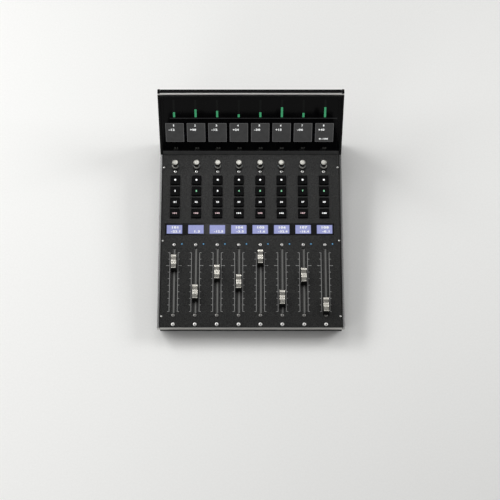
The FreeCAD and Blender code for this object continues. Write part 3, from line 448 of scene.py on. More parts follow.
# The map is 10 mm wide, and the wave repeats every pi / 10 of that, divided by its scale. So the
# rings are 0.44 mm apart, which is coarser than real feed marks, for them to show.
MAP_WIDTH, RING_SCALE = 10, 50 / 7
rings = add_node(turned_aluminium, "ShaderNodeTexWave", {
    "Vector": centred.outputs[0], "Scale": RING_SCALE},
    wave_type="RINGS", rings_direction="SPHERICAL")
raised = add_node(turned_aluminium, "ShaderNodeBump", {
    "Height": rings.outputs["Fac"], "Strength": 0.35, "Distance": 0.01 * MM})
turned_aluminium.node_tree.links.new(raised.outputs[0], shader.inputs["Normal"])
tone = ramp(turned_aluminium, rings, (0.0, "#9C9B95"), (1.0, "#B2B1AB"))
turned_aluminium.node_tree.links.new(tone.outputs[0], shader.inputs["Base Color"])
print("turned metal:", turned_aluminium.name)

# %% [markdown]
# Plastics, rubber and boards
#
# Buttons and cap bodies are moulded ABS with a fine spark-eroded texture, nearly black. The feet
# are moulded rubber. Circuit boards are green solder mask over glass fibre, whose weave just
# shows through.

# %% Moulded parts and boards
button_plastic, shader = new_finish("satin_moulded_abs", "#070708", 0.4, gloss=0.06)
grain(button_plastic, shader, grit=0.5, height=0.01, light="#09090A", dark="#050506")
cap_plastic, shader = new_finish("matte_moulded_abs", "#0A0A0A", 0.5, gloss=0.2)
grain(cap_plastic, shader, grit=0.5, height=0.015, light="#0D0D0D", dark="#070707")
foot_rubber, shader = new_finish("moulded_rubber", "#1A1A1A", 0.8)
grain(foot_rubber, shader, grit=1.0, height=0.05, light="#202020", dark="#151515")
solder_mask, shader = new_finish("green_solder_mask", "#123A20", 0.35)
grain(solder_mask, shader, grit=0.6, height=0.01, light="#174526", dark="#0F321B")
chip_epoxy, shader = new_finish("black_chip_epoxy", "#1C1C1C", 0.6)
grain(chip_epoxy, shader, grit=0.4, height=0.02, light="#222222", dark="#171717")
print("moulded finishes ready")

# %% [markdown]
# Glass and light
#
# The hood is fronted with smoked glass so dark that it reads as black, polished, and lit from
# behind in small windows. What is lit is given its colour as glow over a black base: then it
# looks the same in a bright room and in a dark one, as a display does. The ink of the printed
# scales and the nylon of the dust lips are made here as well.

# %% Glass, displays, print and nylon
black_glass, shader = new_finish("smoked_glass", "#060607", 0.07, gloss=0.07)
grain(black_glass, shader, grit=60.0, height=0.02, light="#070708", dark="#050506")
strip_glass, shader = new_finish("polished_black_acrylic", "#08080A", 0.12, gloss=0.16)
grain(strip_glass, shader, grit=40.0, height=0.02, light="#0A0A0C", dark="#060608")


def lit(name, code, dim, cell, glow=1.0):
    """A backlit surface, whose glow varies from dim to full over cells of a size in millimetres."""
    finish, shader = new_finish(name, "#050505", 0.25, gloss=0.12)
    place = add_node(finish, "ShaderNodeTexCoord", {}).outputs["Object"]
    noise = add_node(finish, "ShaderNodeTexNoise", {
        "Vector": place, "Scale": 1 / (cell * MM), "Detail": 2.0})
    tone = ramp(finish, noise, (0.3, dim), (0.7, code))
    finish.node_tree.links.new(tone.outputs[0], shader.inputs["Emission Color"])
    shader.inputs["Emission Strength"].default_value = glow
    return finish


tile_light = lit("tile_backlight", "#3E3E3E", "#393939", cell=9.0)
tile_frame_light = lit("tile_border_light", "#686868", "#5A5A5A", cell=4.0)
figure_light = lit("white_figures", "#F4F5F4", "#E6E8E8", cell=2.0)
legend_light = lit("white_legend", "#F4F5F4", "#E6E8E8", cell=2.0, glow=1.4)
pink_light = lit("pink_legend", "#F2DADC", "#E0B8BC", cell=2.0)
green_light = lit("green_legend", "#A6E6BC", "#6CC890", cell=1.5)
lcd_light = lit("periwinkle_backlight", "#9EA3D3", "#9499C9", cell=2.5)
lcd_edge_light = lit("periwinkle_edge", "#7F86B6", "#6E75A4", cell=3.0)
meter_light = lit("green_meter_segment", "#46A472", "#3C9466", cell=2.0)
meter_off = lit("unlit_meter_segment", "#0A0C0B", "#080A09", cell=2.0)
lamp_light = lit("blue_lamp_glow", "#7CB4D6", "#5A96C0", cell=1.0)
# Print on the glass is made to glow as painted light, so it shows under any lamp.
painted_glow_print = lit("painted_glow_grey_print", "#323230", "#262624", cell=1.5)
# The seam's glint is painted highlight: it glows as a grey line.
seam_glint_light = lit("painted_seam_highlight", "#3C3D3D", "#343535", cell=6.0)
panel_print, shader = new_finish("screen_printed_ink", "#8C8C8A", 0.5)
grain(panel_print, shader, grit=0.8, height=0.02, light="#969694", dark="#808080")
dust_lip, shader = new_finish("grey_nylon_dust_lip", "#6C6C6A", 0.5)
grain(dust_lip, shader, grit=0.4, height=0.02, light="#767674", dark="#60605E", along=(1, 0.2, 1))
# The darker dust lip is painted shade, for the shadow of the slot's left wall.
painted_shade_lip, shader = new_finish("painted_shade_dust_lip", "#323230", 0.5)
grain(painted_shade_lip, shader, grit=0.4, height=0.02, light="#383836", dark="#2A2A28",
      along=(1, 0.2, 1))
print("finishes so far:", len(bpy.data.materials))

# %% [markdown]
# The steel casing
#
# The panel, cheeks, hood and tray are folded sheet. Their shapes are already right in the frame,
# but each comes as loose triangles with knife-sharp edges, and no real sheet has those: paint
# draws back from an edge and light catches it. So each is copied, merged into clean faces, and
# its edges are eased by a fraction of a millimetre with a Bevel modifier. A Weighted Normal
# modifier then lets the wide faces decide the shading, so that flat sheet stays flat.

# %% Copies of the casing with eased edges
def eased(node, width, shape=None):
    """A copy of a CAD node with its triangles merged, shaped further, and its edges rounded."""
    mesh = nodes[node].data.copy()
    mesh.name = node + "_eased"
    piece = bpy.data.objects.new(node + "_eased", mesh)
    bpy.context.collection.objects.link(piece)
    hold(piece)
    bpy.ops.object.mode_set(mode="EDIT")
    bpy.ops.mesh.select_all(action="SELECT")
    bpy.ops.mesh.remove_doubles(threshold=0.002 * MM)
    bpy.ops.mesh.dissolve_limited(angle_limit=math.radians(0.5))
    bpy.ops.object.mode_set(mode="OBJECT")
    mesh.materials.clear()
    if shape:
        shape(piece)
    rounding = piece.modifiers.new("rounding", "BEVEL")
    rounding.width = width * MM
    rounding.segments = 2
    rounding.angle_limit = math.radians(30)
    rounding.use_clamp_overlap = False
    rounding.loop_slide = False
    flatness = piece.modifiers.new("flatness", "WEIGHTED_NORMAL")
    flatness.weight = 100
    hold(piece)
    bpy.ops.object.shade_smooth()
    bpy.ops.object.modifier_apply(modifier="rounding")
    bpy.ops.object.modifier_apply(modifier="flatness")
    return piece


print("easing helper ready")

# %% [markdown]
# What the plain solids lack
#
# Before its edges are eased, each part of the casing gets the one thing that its plain solid
# lacks. The cheeks get a wider chamfer and the tray a little more width. The front lip is
# folded lower, and the hood's face is cut across, so that each has a line to paint up to.

# %% The casing, shaped and eased
# The casing's edges are rounded by this much.
EASED = 0.2
# Half the width over the cheeks, and half that of the tray.
CHEEK_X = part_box("side_cheeks")[1][0] / MM
TRAY_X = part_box("base_pan")[1][0] / MM
# The cheeks lie beside the panel up to this far up the slope, and beside the hood from there on.
PANEL_END = 305
# The cheeks' top edges are all higher than this.
EDGE_LOW = 30
# Their chamfer is 1 mm wide in the frame and 3 mm when it is finished.
CHAMFER_START, CHAMFER = 1.0, 3.0
# The foot of the hood's face is this tall.
HOOD_FOOT = 8.5
# The front lip is let down by the first length. It is painted black, a painted shade, up to the second
# above its old end.
LIP_DOWN, LIP_CUT = 7.5, 0.8
# The tray gets this much wider on each side.
TRAY_WIDER = 0.25


def faces_front(spot, out):
    """Whether a face is one of the foremost and looks forward."""
    return out.y < -0.5 and panel_place(spot).y < 1.0


def slope_cheeks(piece):
    """Draw the inner side of the chamfer along the panel inwards, so that it gets its full width."""
    inner = CHEEK_X - CHAMFER_START
    stretch(piece, lambda spot, out: abs(abs(spot.x) / MM - inner) < 0.05 and spot.z > EDGE_LOW * MM
            and panel_place(spot).y < PANEL_END and abs(panel_place(spot).z - 1) < 0.5,
            ((CHEEK_X - CHAMFER) / inner, 1, 1))


def part_hood_foot(piece):
    """Cut the hood's face across above its foot, which is painted differently."""
    cut(piece, FACE_START + FACE_UP * HOOD_FOOT * MM, FACE_UP,
        lambda spot, out: out.dot(FACE_OUT) > 0.99)


def widen_tray(piece):
    """Widen the tray a little on both sides, so that no light comes up past its edges."""
    stretch(piece, everything, ((TRAY_X + TRAY_WIDER) / TRAY_X, 1, 1))


def part_lip(piece):
    """Fold the front lip further down over the tray, and cut it along where its painted shade begins.
    """
    edge = min(corner.co.z for corner in piece.data.vertices)
    push(piece, lambda spot, out: spot.z < edge + 1.0 * MM and panel_place(spot).y < 3.0,
         -PANEL_OUT * LIP_DOWN * MM)
    cut(piece, (0, 0, edge + LIP_CUT * MM), (0, 0, 1), faces_front)


shaping = {"top_panel": part_lip, "base_pan": widen_tray, "side_cheeks": slope_cheeks,
           "display_hood": part_hood_foot}
casing = {node: stands_for(eased(node, EASED, shape), node) for node, shape in shaping.items()}
paint(casing["top_panel"], textured_powder)
for node in ("base_pan", "side_cheeks", "display_hood"):
    paint(casing[node], satin_powder)
print({node: len(piece.data.polygons) for node, piece in casing.items()})

# %% [markdown]
# Bright edges
#
# Some faces of the casing have a finish of their own. The chamfer along the top of each cheek is
# anodised black and mirrors the light beside it, and the cheeks' narrow tops have the panel's
# powder. The folded front lip and the cheeks' fronts beside it are brushed aluminium, and the lip's
# lowest part is painted black, a painted shade for the dark gap under it. The hood's face is glossy
# black round its glass, down to a foot painted a lighter grey, a painted light for the light from
# above. All these faces are found by where they look and lie.

# %% Bare chamfers and front lip
# The cheeks' fronts are bare down to this height.
FRONT_LOW = 25
lip_low = min(corner.co.z for corner in casing["top_panel"].data.vertices)


def is_chamfer(spot, out):
    """Whether a face belongs to the chamfer along the top of a cheek, beside the panel."""
    sloping = 0.15 < abs(out.x) < 0.95 and out.z > 0.2
    beside_panel = panel_place(spot).y < PANEL_END and spot.z > EDGE_LOW * MM
    return sloping and beside_panel and abs(spot.x) > (CHEEK_X - CHAMFER - 0.3) * MM


paint(casing["side_cheeks"], bare_edge, is_chamfer)
paint(casing["side_cheeks"], textured_powder, lambda spot, out: out.dot(PANEL_OUT) > 0.99
      and panel_place(spot).y < PANEL_END)
paint(casing["side_cheeks"], brushed_aluminium, lambda spot, out: faces_front(spot, out)
      and spot.z > FRONT_LOW * MM)
paint(casing["display_hood"], black_glass, lambda spot, out: out.dot(FACE_OUT) > 0.99)
# The foot's lighter powder is painted light, for the light from above.
paint(casing["display_hood"], painted_light_powder, lambda spot, out: out.dot(FACE_OUT) > 0.6
      and face_place(spot).y < HOOD_FOOT)
paint(casing["top_panel"], brushed_aluminium, faces_front)
# The lip's lowest part is painted black: painted shade for the dark gap under the lip.
paint(casing["top_panel"], satin_powder, lambda spot, out: out.y < 0.5 and panel_place(spot).y < 1.0
      and spot.z < lip_low + LIP_DOWN * MM)
print("lip's lower edge at", round(lip_low / MM, 1), "mm")
bare = [face for face in casing["side_cheeks"].data.polygons if face.material_index == 1]
print("bare chamfer faces:", len(bare))

# %% [markdown]
# The bar along the hood's top
#
# A brushed bar closes the top of the hood's face from side to side, over the cheeks' ends too.
# It is a thin strip of aluminium, so it is modelled as one: a long block laid on the face just
# below its top edge, whose upper edge is rounded widely to catch the light. A ridge runs under it.

# %% Hood bar
hood_low, hood_high = (Vector(corner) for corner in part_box("display_hood"))
FACE_LENGTH = (hood_high.z - FACE_START.z) / FACE_UP.z / MM
BAR_LOW, BAR_HIGH, BAR_OUT = FACE_LENGTH - 3.9, FACE_LENGTH - 0.6, 1.1
RIDGE_LOW, RIDGE_HIGH, RIDGE_OUT = BAR_LOW - 4.6, BAR_LOW - 3.4, 0.15
bar = block("hood_bar", (-CHEEK_X, BAR_LOW, 0.0), (CHEEK_X, BAR_HIGH, BAR_OUT))
bevel(bar, lambda spot, way: abs(way.x) > 0.9 and spot.z > 0.5 and spot.y > BAR_HIGH - 0.1, 1.0, 6)
bevel(bar, lambda spot, way: abs(way.x) > 0.9 and spot.z > 0.5 and spot.y < BAR_LOW + 0.1, 0.3, 2)
done(bar)
ridge = block("face_ridge", (hood_low.x / MM, RIDGE_LOW, 0.0),
              (hood_high.x / MM, RIDGE_HIGH, RIDGE_OUT))
bevel(ridge, lambda spot, way: abs(way.x) > 0.9 and spot.z > 0.1, 0.12, 2)
done(ridge)
paint(bar, bright_bar)
paint(ridge, textured_powder)
for piece in (bar, ridge):
    piece.data.transform(on_face())
    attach(piece, "console")
print("face length", round(FACE_LENGTH, 1), "mm; bar", round(2 * CHEEK_X, 1), "mm long")

# %% [markdown]
# Push buttons
#
# A button is a moulded cap with rounded corners and a shallow dish for the finger, on a flange
# that stops it under the panel, with a stem that reaches the switch. The cap is a block: its
# upright edges are bevelled first, then its rim, then the top is inset twice and let down to make
# the dish. One pattern serves all thirty-two.

# %% Button pattern
cap_half, flange_half = 7.75, 8.35
cap_top, flange_top, flange_low, stem_low = 3.0, -2.3, -3.3, -4.6
dish_depth = 0.3
button_cap = block("button_cap", (-cap_half, -cap_half, flange_top), (cap_half, cap_half, cap_top))
bevel(button_cap, lambda spot, way: abs(way.z) > 0.9, 1.0, 4)
pick(button_cap, "FACE", lambda spot, out: out.z > 0.9)
bpy.ops.mesh.bevel(offset=0.5, segments=3, affect="EDGES")
bpy.ops.object.mode_set(mode="OBJECT")
pick(button_cap, "FACE", lambda spot, out: out.z > 0.99)
for share, depth in ((0.9, 0.0), (0.55, dish_depth)):
    bpy.ops.mesh.inset(thickness=0)
    bpy.ops.transform.resize(value=(share, share, 1), center_override=(0, 0, cap_top))
    bpy.ops.transform.translate(value=(0, 0, -depth))
done(button_cap)
flange = block("button_flange", (-flange_half, -flange_half, flange_low),
               (flange_half, flange_half, flange_top))
bevel(flange, lambda spot, way: abs(way.z) > 0.9, 1.2, 3)
done(flange)
stem = turned("button_stem", [(2.0, stem_low), (2.5, stem_low + 0.4), (2.5, flange_low)], 20)
button_pattern = paint(joined("button_pattern", button_cap, flange, stem), button_plastic)
patterns.append(button_pattern)
DISH = cap_top - dish_depth
print("button faces:", len(button_pattern.data.polygons))

# %% [markdown]
# Lit legends
#
# Each cap has a clear mark that a lamp shines through. The rearmost row is a plain dot, the
# others are plain numbers. Lettering is easiest as a text object turned into a mesh: it is then
# stretched to the size of the mark, because a font's own size says little about its figures.

# %% Legend patterns
def figures(name, words, width, height, finish, weight=0.05):
    """Flat bold figures, centred on the origin, of a height and at most a width in millimetres."""
    bpy.ops.object.select_all(action="DESELECT")
    bpy.ops.object.text_add(location=(0, 0, 0))
    bpy.context.object.data.body = words
    bpy.context.object.data.offset = weight
    bpy.context.object.data.space_character = 1.15
    bpy.context.object.data.resolution_u = 3
    bpy.ops.object.convert(target="MESH")
    piece = bpy.context.object
    piece.name = piece.data.name = name
    low = [min(corner.co[axis] for corner in piece.data.vertices) for axis in (0, 1)]
    high = [max(corner.co[axis] for corner in piece.data.vertices) for axis in (0, 1)]
    tall = height / (high[1] - low[1])
    wide = min(width / (high[0] - low[0]), 1.5 * tall)
    to_middle = Matrix.Translation((-(low[0] + high[0]) / 2, -(low[1] + high[1]) / 2, 0))
    piece.data.transform(Matrix.Diagonal((wide, tall, 1, 1)) @ to_middle)
    return paint(piece, finish)


def plate(name, width, height, corner, finish):
    """A flat window with rounded corners, facing up, centred on the origin."""
    bpy.ops.object.select_all(action="DESELECT")
    bpy.ops.mesh.primitive_plane_add(size=1)
    bpy.context.object.scale = (width, height, 1)
    piece = named(name)
    pick(piece, "VERT", everything)
    bpy.ops.mesh.bevel(offset=corner, segments=4, affect="VERTICES")
    bpy.ops.object.mode_set(mode="OBJECT")
    return paint(piece, finish)


bpy.ops.object.select_all(action="DESELECT")
bpy.ops.mesh.primitive_circle_add(vertices=24, radius=1.6, fill_type="NGON")
dot = paint(named("legend_dot"), legend_light)
patterns.append(dot)
GREEN_CHANNELS = (2, 4, 5, 6, 7, 8)
PINK_CHANNELS = (1, 2, 3, 5, 7)


def legend(row, channel):
    """The lit legend of one button, flat at the origin."""
    name = f"legend_{row}_{channel}"
    if row == 1:
        light = pink_light if channel in PINK_CHANNELS else legend_light
        return figures(name, str(100 + channel), 7.6, 2.6, light)
    if row == 2:
        return figures(name, str(20 + channel), 4.6, 2.8, legend_light)
    if row == 3:
        light = green_light if channel in GREEN_CHANNELS else legend_light
        return figures(name, str(channel), 2.5, 3.3, light, weight=0.08)
    return copied(dot, name, Matrix.Identity(4))


print("green legends on channels", GREEN_CHANNELS, "and pink ones on", PINK_CHANNELS)

# %% [markdown]
# Setting the buttons down
#
# Each button gets its own mesh, at its own place on the panel, and rides on the body that its
# press joint moves. Its legend rides with it.

# %% Thirty-two buttons
for row in ROWS:
    for channel in CHANNELS:
        body = f"button_{row}_{channel}"
        place = on_panel(STRIP_X[channel], BUTTON_U[row])
        stands_for(copied(button_pattern, body + "_cap", place), body, body)
        mark = legend(row, channel)
        mark.data.transform(on_panel(STRIP_X[channel], BUTTON_U[row], DISH + 0.03))
        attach(mark, body)
print("buttons:", len(ROWS) * len(CHANNELS))

# %% [markdown]
# Encoder knobs
#
# The knob is turned from bar: a skirt with a silver cone, a narrow black waist and a wider head
# with a bright top and a dimple in it. A turned part is a stack of rings, so it is made by
# extruding a disc upward ring by ring. Its head is knurled for grip: every second facet of its
# side is pressed in.

# %% Knob pattern
KNOB_SIDES = 64
skirt = [(6.0, 1.9), (6.0, 3.1), (5.8, 3.5), (4.1, 5.0), (3.9, 5.3)]
head = [(3.9, 13.0), (4.3, 13.3), (4.6, 13.7), (4.6, 16.2), (4.42, 16.4), (4.1, 16.5)]
dimple = [(2.2, 16.5), (2.0, 16.38), (1.0, 16.38)]
knob = turned("knob_pattern", skirt + head + dimple, KNOB_SIDES)
flat_map = knob.data.uv_layers.new(name="turning")
for corner in knob.data.loops:
    spot = knob.data.vertices[corner.vertex_index].co
    flat_map.data[corner.index].uv = (spot.x / MAP_WIDTH + 0.5, spot.y / MAP_WIDTH + 0.5)


def in_knurl(spot, out):
    """Whether a face is one of every second facet of the head's side."""
    facet = math.degrees(math.atan2(spot.y, spot.x)) / (360 / KNOB_SIDES) - 0.5
    return 13.8 < spot.z < 15.8 and abs(out.z) < 0.1 and round(facet) % 2 == 0


pick(knob, "FACE", in_knurl)
bpy.ops.mesh.inset(thickness=0.05, use_individual=True)
bpy.ops.transform.resize(value=(0.965, 0.965, 1), center_override=(0, 0, 15))
done(knob)
paint(knob, cap_plastic)
paint(knob, turned_aluminium, lambda spot, out: spot.z > 16.25)
paint(knob, polished_cone, lambda spot, out: 3.0 < spot.z < 5.1 and out.z > 0.2)
shaft = paint(turned("knob_shaft", [(2.6, -6.1), (3.0, -5.7), (3.0, 13.0)], 24), zinc_steel)
knob_pattern = joined("knob_pattern", knob, shaft)
patterns.append(knob_pattern)
for channel in CHANNELS:
    body = f"encoder_knob_{channel}"
    piece = copied(knob_pattern, body + "_turned", on_panel(STRIP_X[channel], KNOB_U))
    stands_for(piece, body, body)
print("knob faces:", len(knob_pattern.data.polygons))

# %% [markdown]
# Fader caps
#
# A fader's cap is an aluminium crown on a black moulded body. Seen from the side the crown is a
# tray: a flat lip at each end, a slope down from each, and a flat middle with a fine line cut
# across it, where the finger rests. A block is narrowed to its top and cut into stations along
# its length, and the top corners at each station are let down to the tray's depth.

# %% Cap pattern
CAP_LOW, CAP_TOP = 1.6, 14.6
# The block narrows from 10 by 26 mm at its foot to 8 by 22.6 mm at its top.
cap = block("cap_pattern", (-5.0, -13.0, CAP_LOW), (5.0, 13.0, CAP_TOP))
stretch(cap, lambda spot, out: spot.z > CAP_TOP - 0.1, (8.0 / 10.0, 22.6 / 26.0, 1),
        (0, 4.0, CAP_TOP))
# How deep the crown is let down at each station along it. The fine line is at 0.3.
TRAY = {8.6: 0.0, 3.8: 2.4, 0.55: 2.4, 0.3: 2.7, 0.05: 2.4, -3.1: 2.4, -9.9: 0.0}
for station in TRAY:
    cut(cap, (0, station, 0), (0, 1, 0))
for station, depth in TRAY.items():
    push(cap, lambda spot, out: spot.z > CAP_TOP - 0.01 and abs(spot.y - station) < 0.01,
         (0, 0, -depth))
# The sides are cut all round where the crown ends on the body.
for height in (CAP_TOP - 3.0, CAP_TOP - 3.3):
    cut(cap, (0, 0, height), (0, 0, 1))
rounding = cap.modifiers.new("rounding", "BEVEL")
rounding.width = 0.3
rounding.segments = 2
rounding.angle_limit = math.radians(40)
hold(cap)
bpy.ops.object.modifier_apply(modifier="rounding")
bpy.ops.object.shade_smooth_by_angle(angle=math.radians(12))
paint(cap, cap_plastic)
paint(cap, satin_aluminium, lambda spot, out: spot.z > CAP_TOP - 2.9 and out.z > 0.5)
patterns.append(cap)
print("cap faces:", len(cap.data.polygons))

# %% [markdown]
# What the cap sits on
#
# Under the cap a steel lever runs down through the slot to a carriage on two rods. Those two
# keep the frame's shapes: a copy of the fader is parted into its loose solids, its own cap is
# dropped, and the modelled cap takes that place.

# %% Eight faders
# A solid that reaches further under the panel than this is the carriage, and the others are steel.
CARRIAGE_LOW = -15
WORKS_EASED = 0.1
for channel in CHANNELS:
    body = f"fader_{channel}"
    works = eased(body, WORKS_EASED)
    hold(works)
    bpy.ops.object.mode_set(mode="EDIT")
    bpy.ops.mesh.select_all(action="SELECT")
    bpy.ops.mesh.separate(type="LOOSE")
    bpy.ops.object.mode_set(mode="OBJECT")
    left = []
    for solid in list(bpy.context.selected_objects):
        heights = [panel_place(corner.co).z for corner in solid.data.vertices]
        if max(heights) > CAP_TOP - 1:
            bpy.data.objects.remove(solid)
        else:
            left.append(paint(solid, cap_plastic if min(heights) < CARRIAGE_LOW else zinc_steel))
    new_cap = copied(cap, body + "_cap", on_panel(STRIP_X[channel], FADER_U[channel]))
    stands_for(joined(body + "_whole", new_cap, *left), body, body)
print("faders at u", {channel: round(u, 1) for channel, u in FADER_U.items()})

# %% [markdown]
# Screws
#
# Each channel is held by four screws on its middle line. Three rows are low domed heads with a
# hexagon socket, and the lowest of them, just below the slots, are painted darker, as shade from
# the fader caps. The row nearest the front has the widest heads, which read as rings round their
# sockets. The inside of every socket is painted black, as shade in the recess. Small domed screws
# hold the panel down along its sides. All are turned shapes, and the ring round each socket is
# pulled into a hexagon.

# %% Screw patterns
def screw(name, head, rise, socket, depth, shank, finish):
    """A domed screw with a hexagon socket, whose inside is painted black as shade. Head, socket and
    shank are radii, rise is the height.
    """
    ring = max(socket + 0.35, head * 0.62)
    profile = [(shank * 0.8, -7.0), (shank, -6.6), (shank, 0.02), (head, 0.02), (head, rise * 0.45),
               (head * 0.93, rise * 0.75), (ring, rise), (socket, rise), (socket, rise - depth)]
    piece = turned(name, profile, 24)
    socket_low = rise - depth - 0.01
    for corner in piece.data.vertices:
        far = math.hypot(corner.co.x, corner.co.y)
        if abs(far - socket) < 0.01 and corner.co.z > socket_low:
            turn = math.atan2(corner.co.y, corner.co.x) % math.radians(60) - math.radians(30)
            shrink = math.cos(math.radians(30)) / math.cos(turn)
            corner.co.x *= shrink
            corner.co.y *= shrink
    paint(piece, finish)
    # The socket's inside is painted black: painted shade in the recess.
    return paint(piece, cap_plastic, lambda spot, out: math.hypot(spot.x, spot.y) < socket
                 and spot.z > socket_low and abs(spot.z - rise) > 0.001)


upper_screw = screw("upper_screw_pattern", 2.4, 1.2, 0.9, 0.7, 1.5, nickel_steel)
# The row below the slots is painted a darker nickel: painted shade from the fader caps.
lower_screw = screw("lower_screw_pattern", 2.7, 1.3, 0.9, 0.7, 1.5, painted_shade_steel)
ring_screw = screw("ring_screw_pattern", 3.0, 1.3, 0.95, 0.8, 1.5, nickel_steel)
side_screw = screw("side_screw_pattern", 1.45, 1.0, 0.55, 0.5, 1.0, nickel_steel)
patterns.extend([upper_screw, lower_screw, ring_screw, side_screw])
SCREW_ROWS = {"front": (6.0, ring_screw), "lower": (21.1, lower_screw),
              "upper": (141.0, upper_screw), "board": (269.4, upper_screw)}
SIDE_X, SIDE_US = 143.5, (19.5, 148.0, 277.0)
for row, (u, pattern) in SCREW_ROWS.items():
    heads = [copied(pattern, f"{row}_screw_{channel}", on_panel(STRIP_X[channel], u))
             for channel in CHANNELS]
    stands_for(joined(row + "_screws", *heads), "screws")
side_heads = [copied(side_screw, "side_screw", on_panel(x, u))
              for x in (-SIDE_X, SIDE_X) for u in SIDE_US]
stands_for(joined("side_screws", *side_heads), "screws")
print("screws:", len(SCREW_ROWS) * len(CHANNELS) + len(side_heads))

# %% [markdown]
# Printed fader scales
#
# Beside each slot a scale is screen printed: an upright rule with ten ticks, and a second, thicker
# tick outside them at the unity mark. Ink is a film on the paint, so it is a thin strip just above
# it. One tick is modelled and an Array modifier repeats it; a Mirror modifier makes the other side.

# %% Scale pattern
SCALE_LOW, SCALE_HIGH, TICKS = 27.5, 127.5, 10
INK_LOW, INK_HIGH = 0.01, 0.03
step = (SCALE_HIGH - SCALE_LOW) / (TICKS - 1)
rule = block("scale_rule", (6.2, SCALE_LOW, INK_LOW), (7.0, SCALE_HIGH, INK_HIGH))
tick = block("scale_tick", (7.0, SCALE_LOW - 0.4, INK_LOW), (9.4, SCALE_LOW + 0.4, INK_HIGH))
rows = tick.modifiers.new("ticks", "ARRAY")
rows.count = TICKS
rows.use_relative_offset = False
rows.use_constant_offset = True
rows.constant_offset_displace = (0, step, 0)
hold(tick)
bpy.ops.object.modifier_apply(modifier="ticks")
unity_u = SCALE_HIGH - 2 * step
unity = block("scale_unity", (9.9, unity_u - 0.55, INK_LOW), (12.6, unity_u + 0.55, INK_HIGH))
scale = joined("scale_pattern", rule, tick, unity)
scale.modifiers.new("other_side", "MIRROR")
hold(scale)
bpy.ops.object.modifier_apply(modifier="other_side")
done(scale)
paint(scale, panel_print)
patterns.append(scale)
for channel in CHANNELS:
    set_down(scale, f"fader_scale_{channel}", on_panel(STRIP_X[channel], 0))
print("scale step", round(step, 2), "mm; unity mark at u", round(unity_u, 1))

# %% [markdown]
# Dust lips
#
# Each slot is closed against dust by two strips of nylon under the panel, a wide pale one and a
# narrow one painted dark, as painted shade from the slot's left wall; the two all but meet left of
# the middle. Real ones bend aside for the fader's lever; these stay straight, and the lever passes
# through them. A strip is a long thin block whose inner edge is rounded; the slot's own ends hide
# the strips' ends.

# %% Dust lips
works_top = max(panel_place(corner.co).z for corner in nodes["fader_units"].data.vertices)
lip_bottom, lip_top = works_top + 0.02, works_top + 0.4
slot_low, slot_high = SCALE_LOW - 6.0, SCALE_HIGH + 6.0
halves = []
# The narrow left strip is painted dark: painted shade from the slot's left wall.
for side, left, right, finish in (("right", -0.5, 2.1, dust_lip), ("left", -2.1, -0.62, painted_shade_lip)):
    half = block(f"dust_lip_{side}", (left, slot_low, lip_bottom), (right, slot_high, lip_top))
    inner = min((left, right), key=abs)
    bevel(half, lambda spot, way: abs(way.y) > 0.9 and abs(spot.x - inner) < 0.1
          and spot.z > works_top + 0.2, 0.25, 3)
    done(half)
    halves.append(paint(half, finish))
lip = joined("dust_lip_pattern", *halves)
patterns.append(lip)
for channel in CHANNELS:
    set_down(lip, f"dust_lips_{channel}", on_panel(STRIP_X[channel], 0))
print("the works' top is", round(-works_top, 2), "mm under the panel's surface")

# %% [markdown]
# Channel lamps
#
# A blue light-emitting diode looks out of a hole beside each fader. Its clear dome is a turned
# shape that fills the hole and stands a third of a millimetre proud, with a bright core in a
# dimmer blue rim.

# %% Lamps
LAMP_X, LAMP_U = 12.5, 142.5
lamp_rim = lit("blue_lamp_rim", "#2C5470", "#1E3E56", cell=1.0)
dome = [(1.65, -0.6), (1.65, -0.15), (1.45, 0.05), (0.95, 0.25), (0.4, 0.35)]
lamp = turned("lamp_pattern", dome, 20)
paint(lamp, lamp_rim)
paint(lamp, lamp_light, lambda spot, out: spot.z > 0.2)
patterns.append(lamp)
for channel in CHANNELS:
    set_down(lamp, f"channel_lamp_{channel}", on_panel(STRIP_X[channel] + LAMP_X, LAMP_U))
print("lamps:", len(CHANNELS))

# %% [markdown]
# The display strip
#
# A polished acrylic strip runs across the panel with eight backlit liquid-crystal windows behind
# it. A backlit window is a soft periwinkle that is a little deeper at its rim, with white figures.
# The acrylic here lets no light through, so what shines is laid just above it in thin layers: the
# rim, then the window inside it, then the figures.

# %% Strip windows
STRIP_U = 167.8
WINDOW_WIDTH, WINDOW_HEIGHT, WINDOW_RIM = 25.4, 15.1, 0.5
RIM_H, WINDOW_H, FIGURES_H = 0.03, 0.05, 0.08
LEVEL_X, LEVEL_U, LEVEL_PITCH, LEVEL_HEIGHT = 2.0, STRIP_U - 3.6, 3.0, 4.0
NAME_X, NAME_U, NAME_WIDTH, NAME_HEIGHT = 1.0, STRIP_U + 3.4, 13.0, 4.2
GLASS_EASED = 0.15
strip = stands_for(eased("scribble_displays", GLASS_EASED), "scribble_displays")
paint(strip, strip_glass)
NAMES = {1: "101", 4: "104", 5: "105", 6: "106", 7: "107", 8: "108"}
LEVELS = {1: "-22.1", 2: "1.3", 3: "-12.5", 4: "-3.3", 5: "-1.6", 6: "-32.4", 7: "-16.4", 8: "-0.1"}


def lay(piece, place):
    """Put a flat piece in its place on the console and let it ride there."""
    piece.data.transform(place)
    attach(piece, "console")


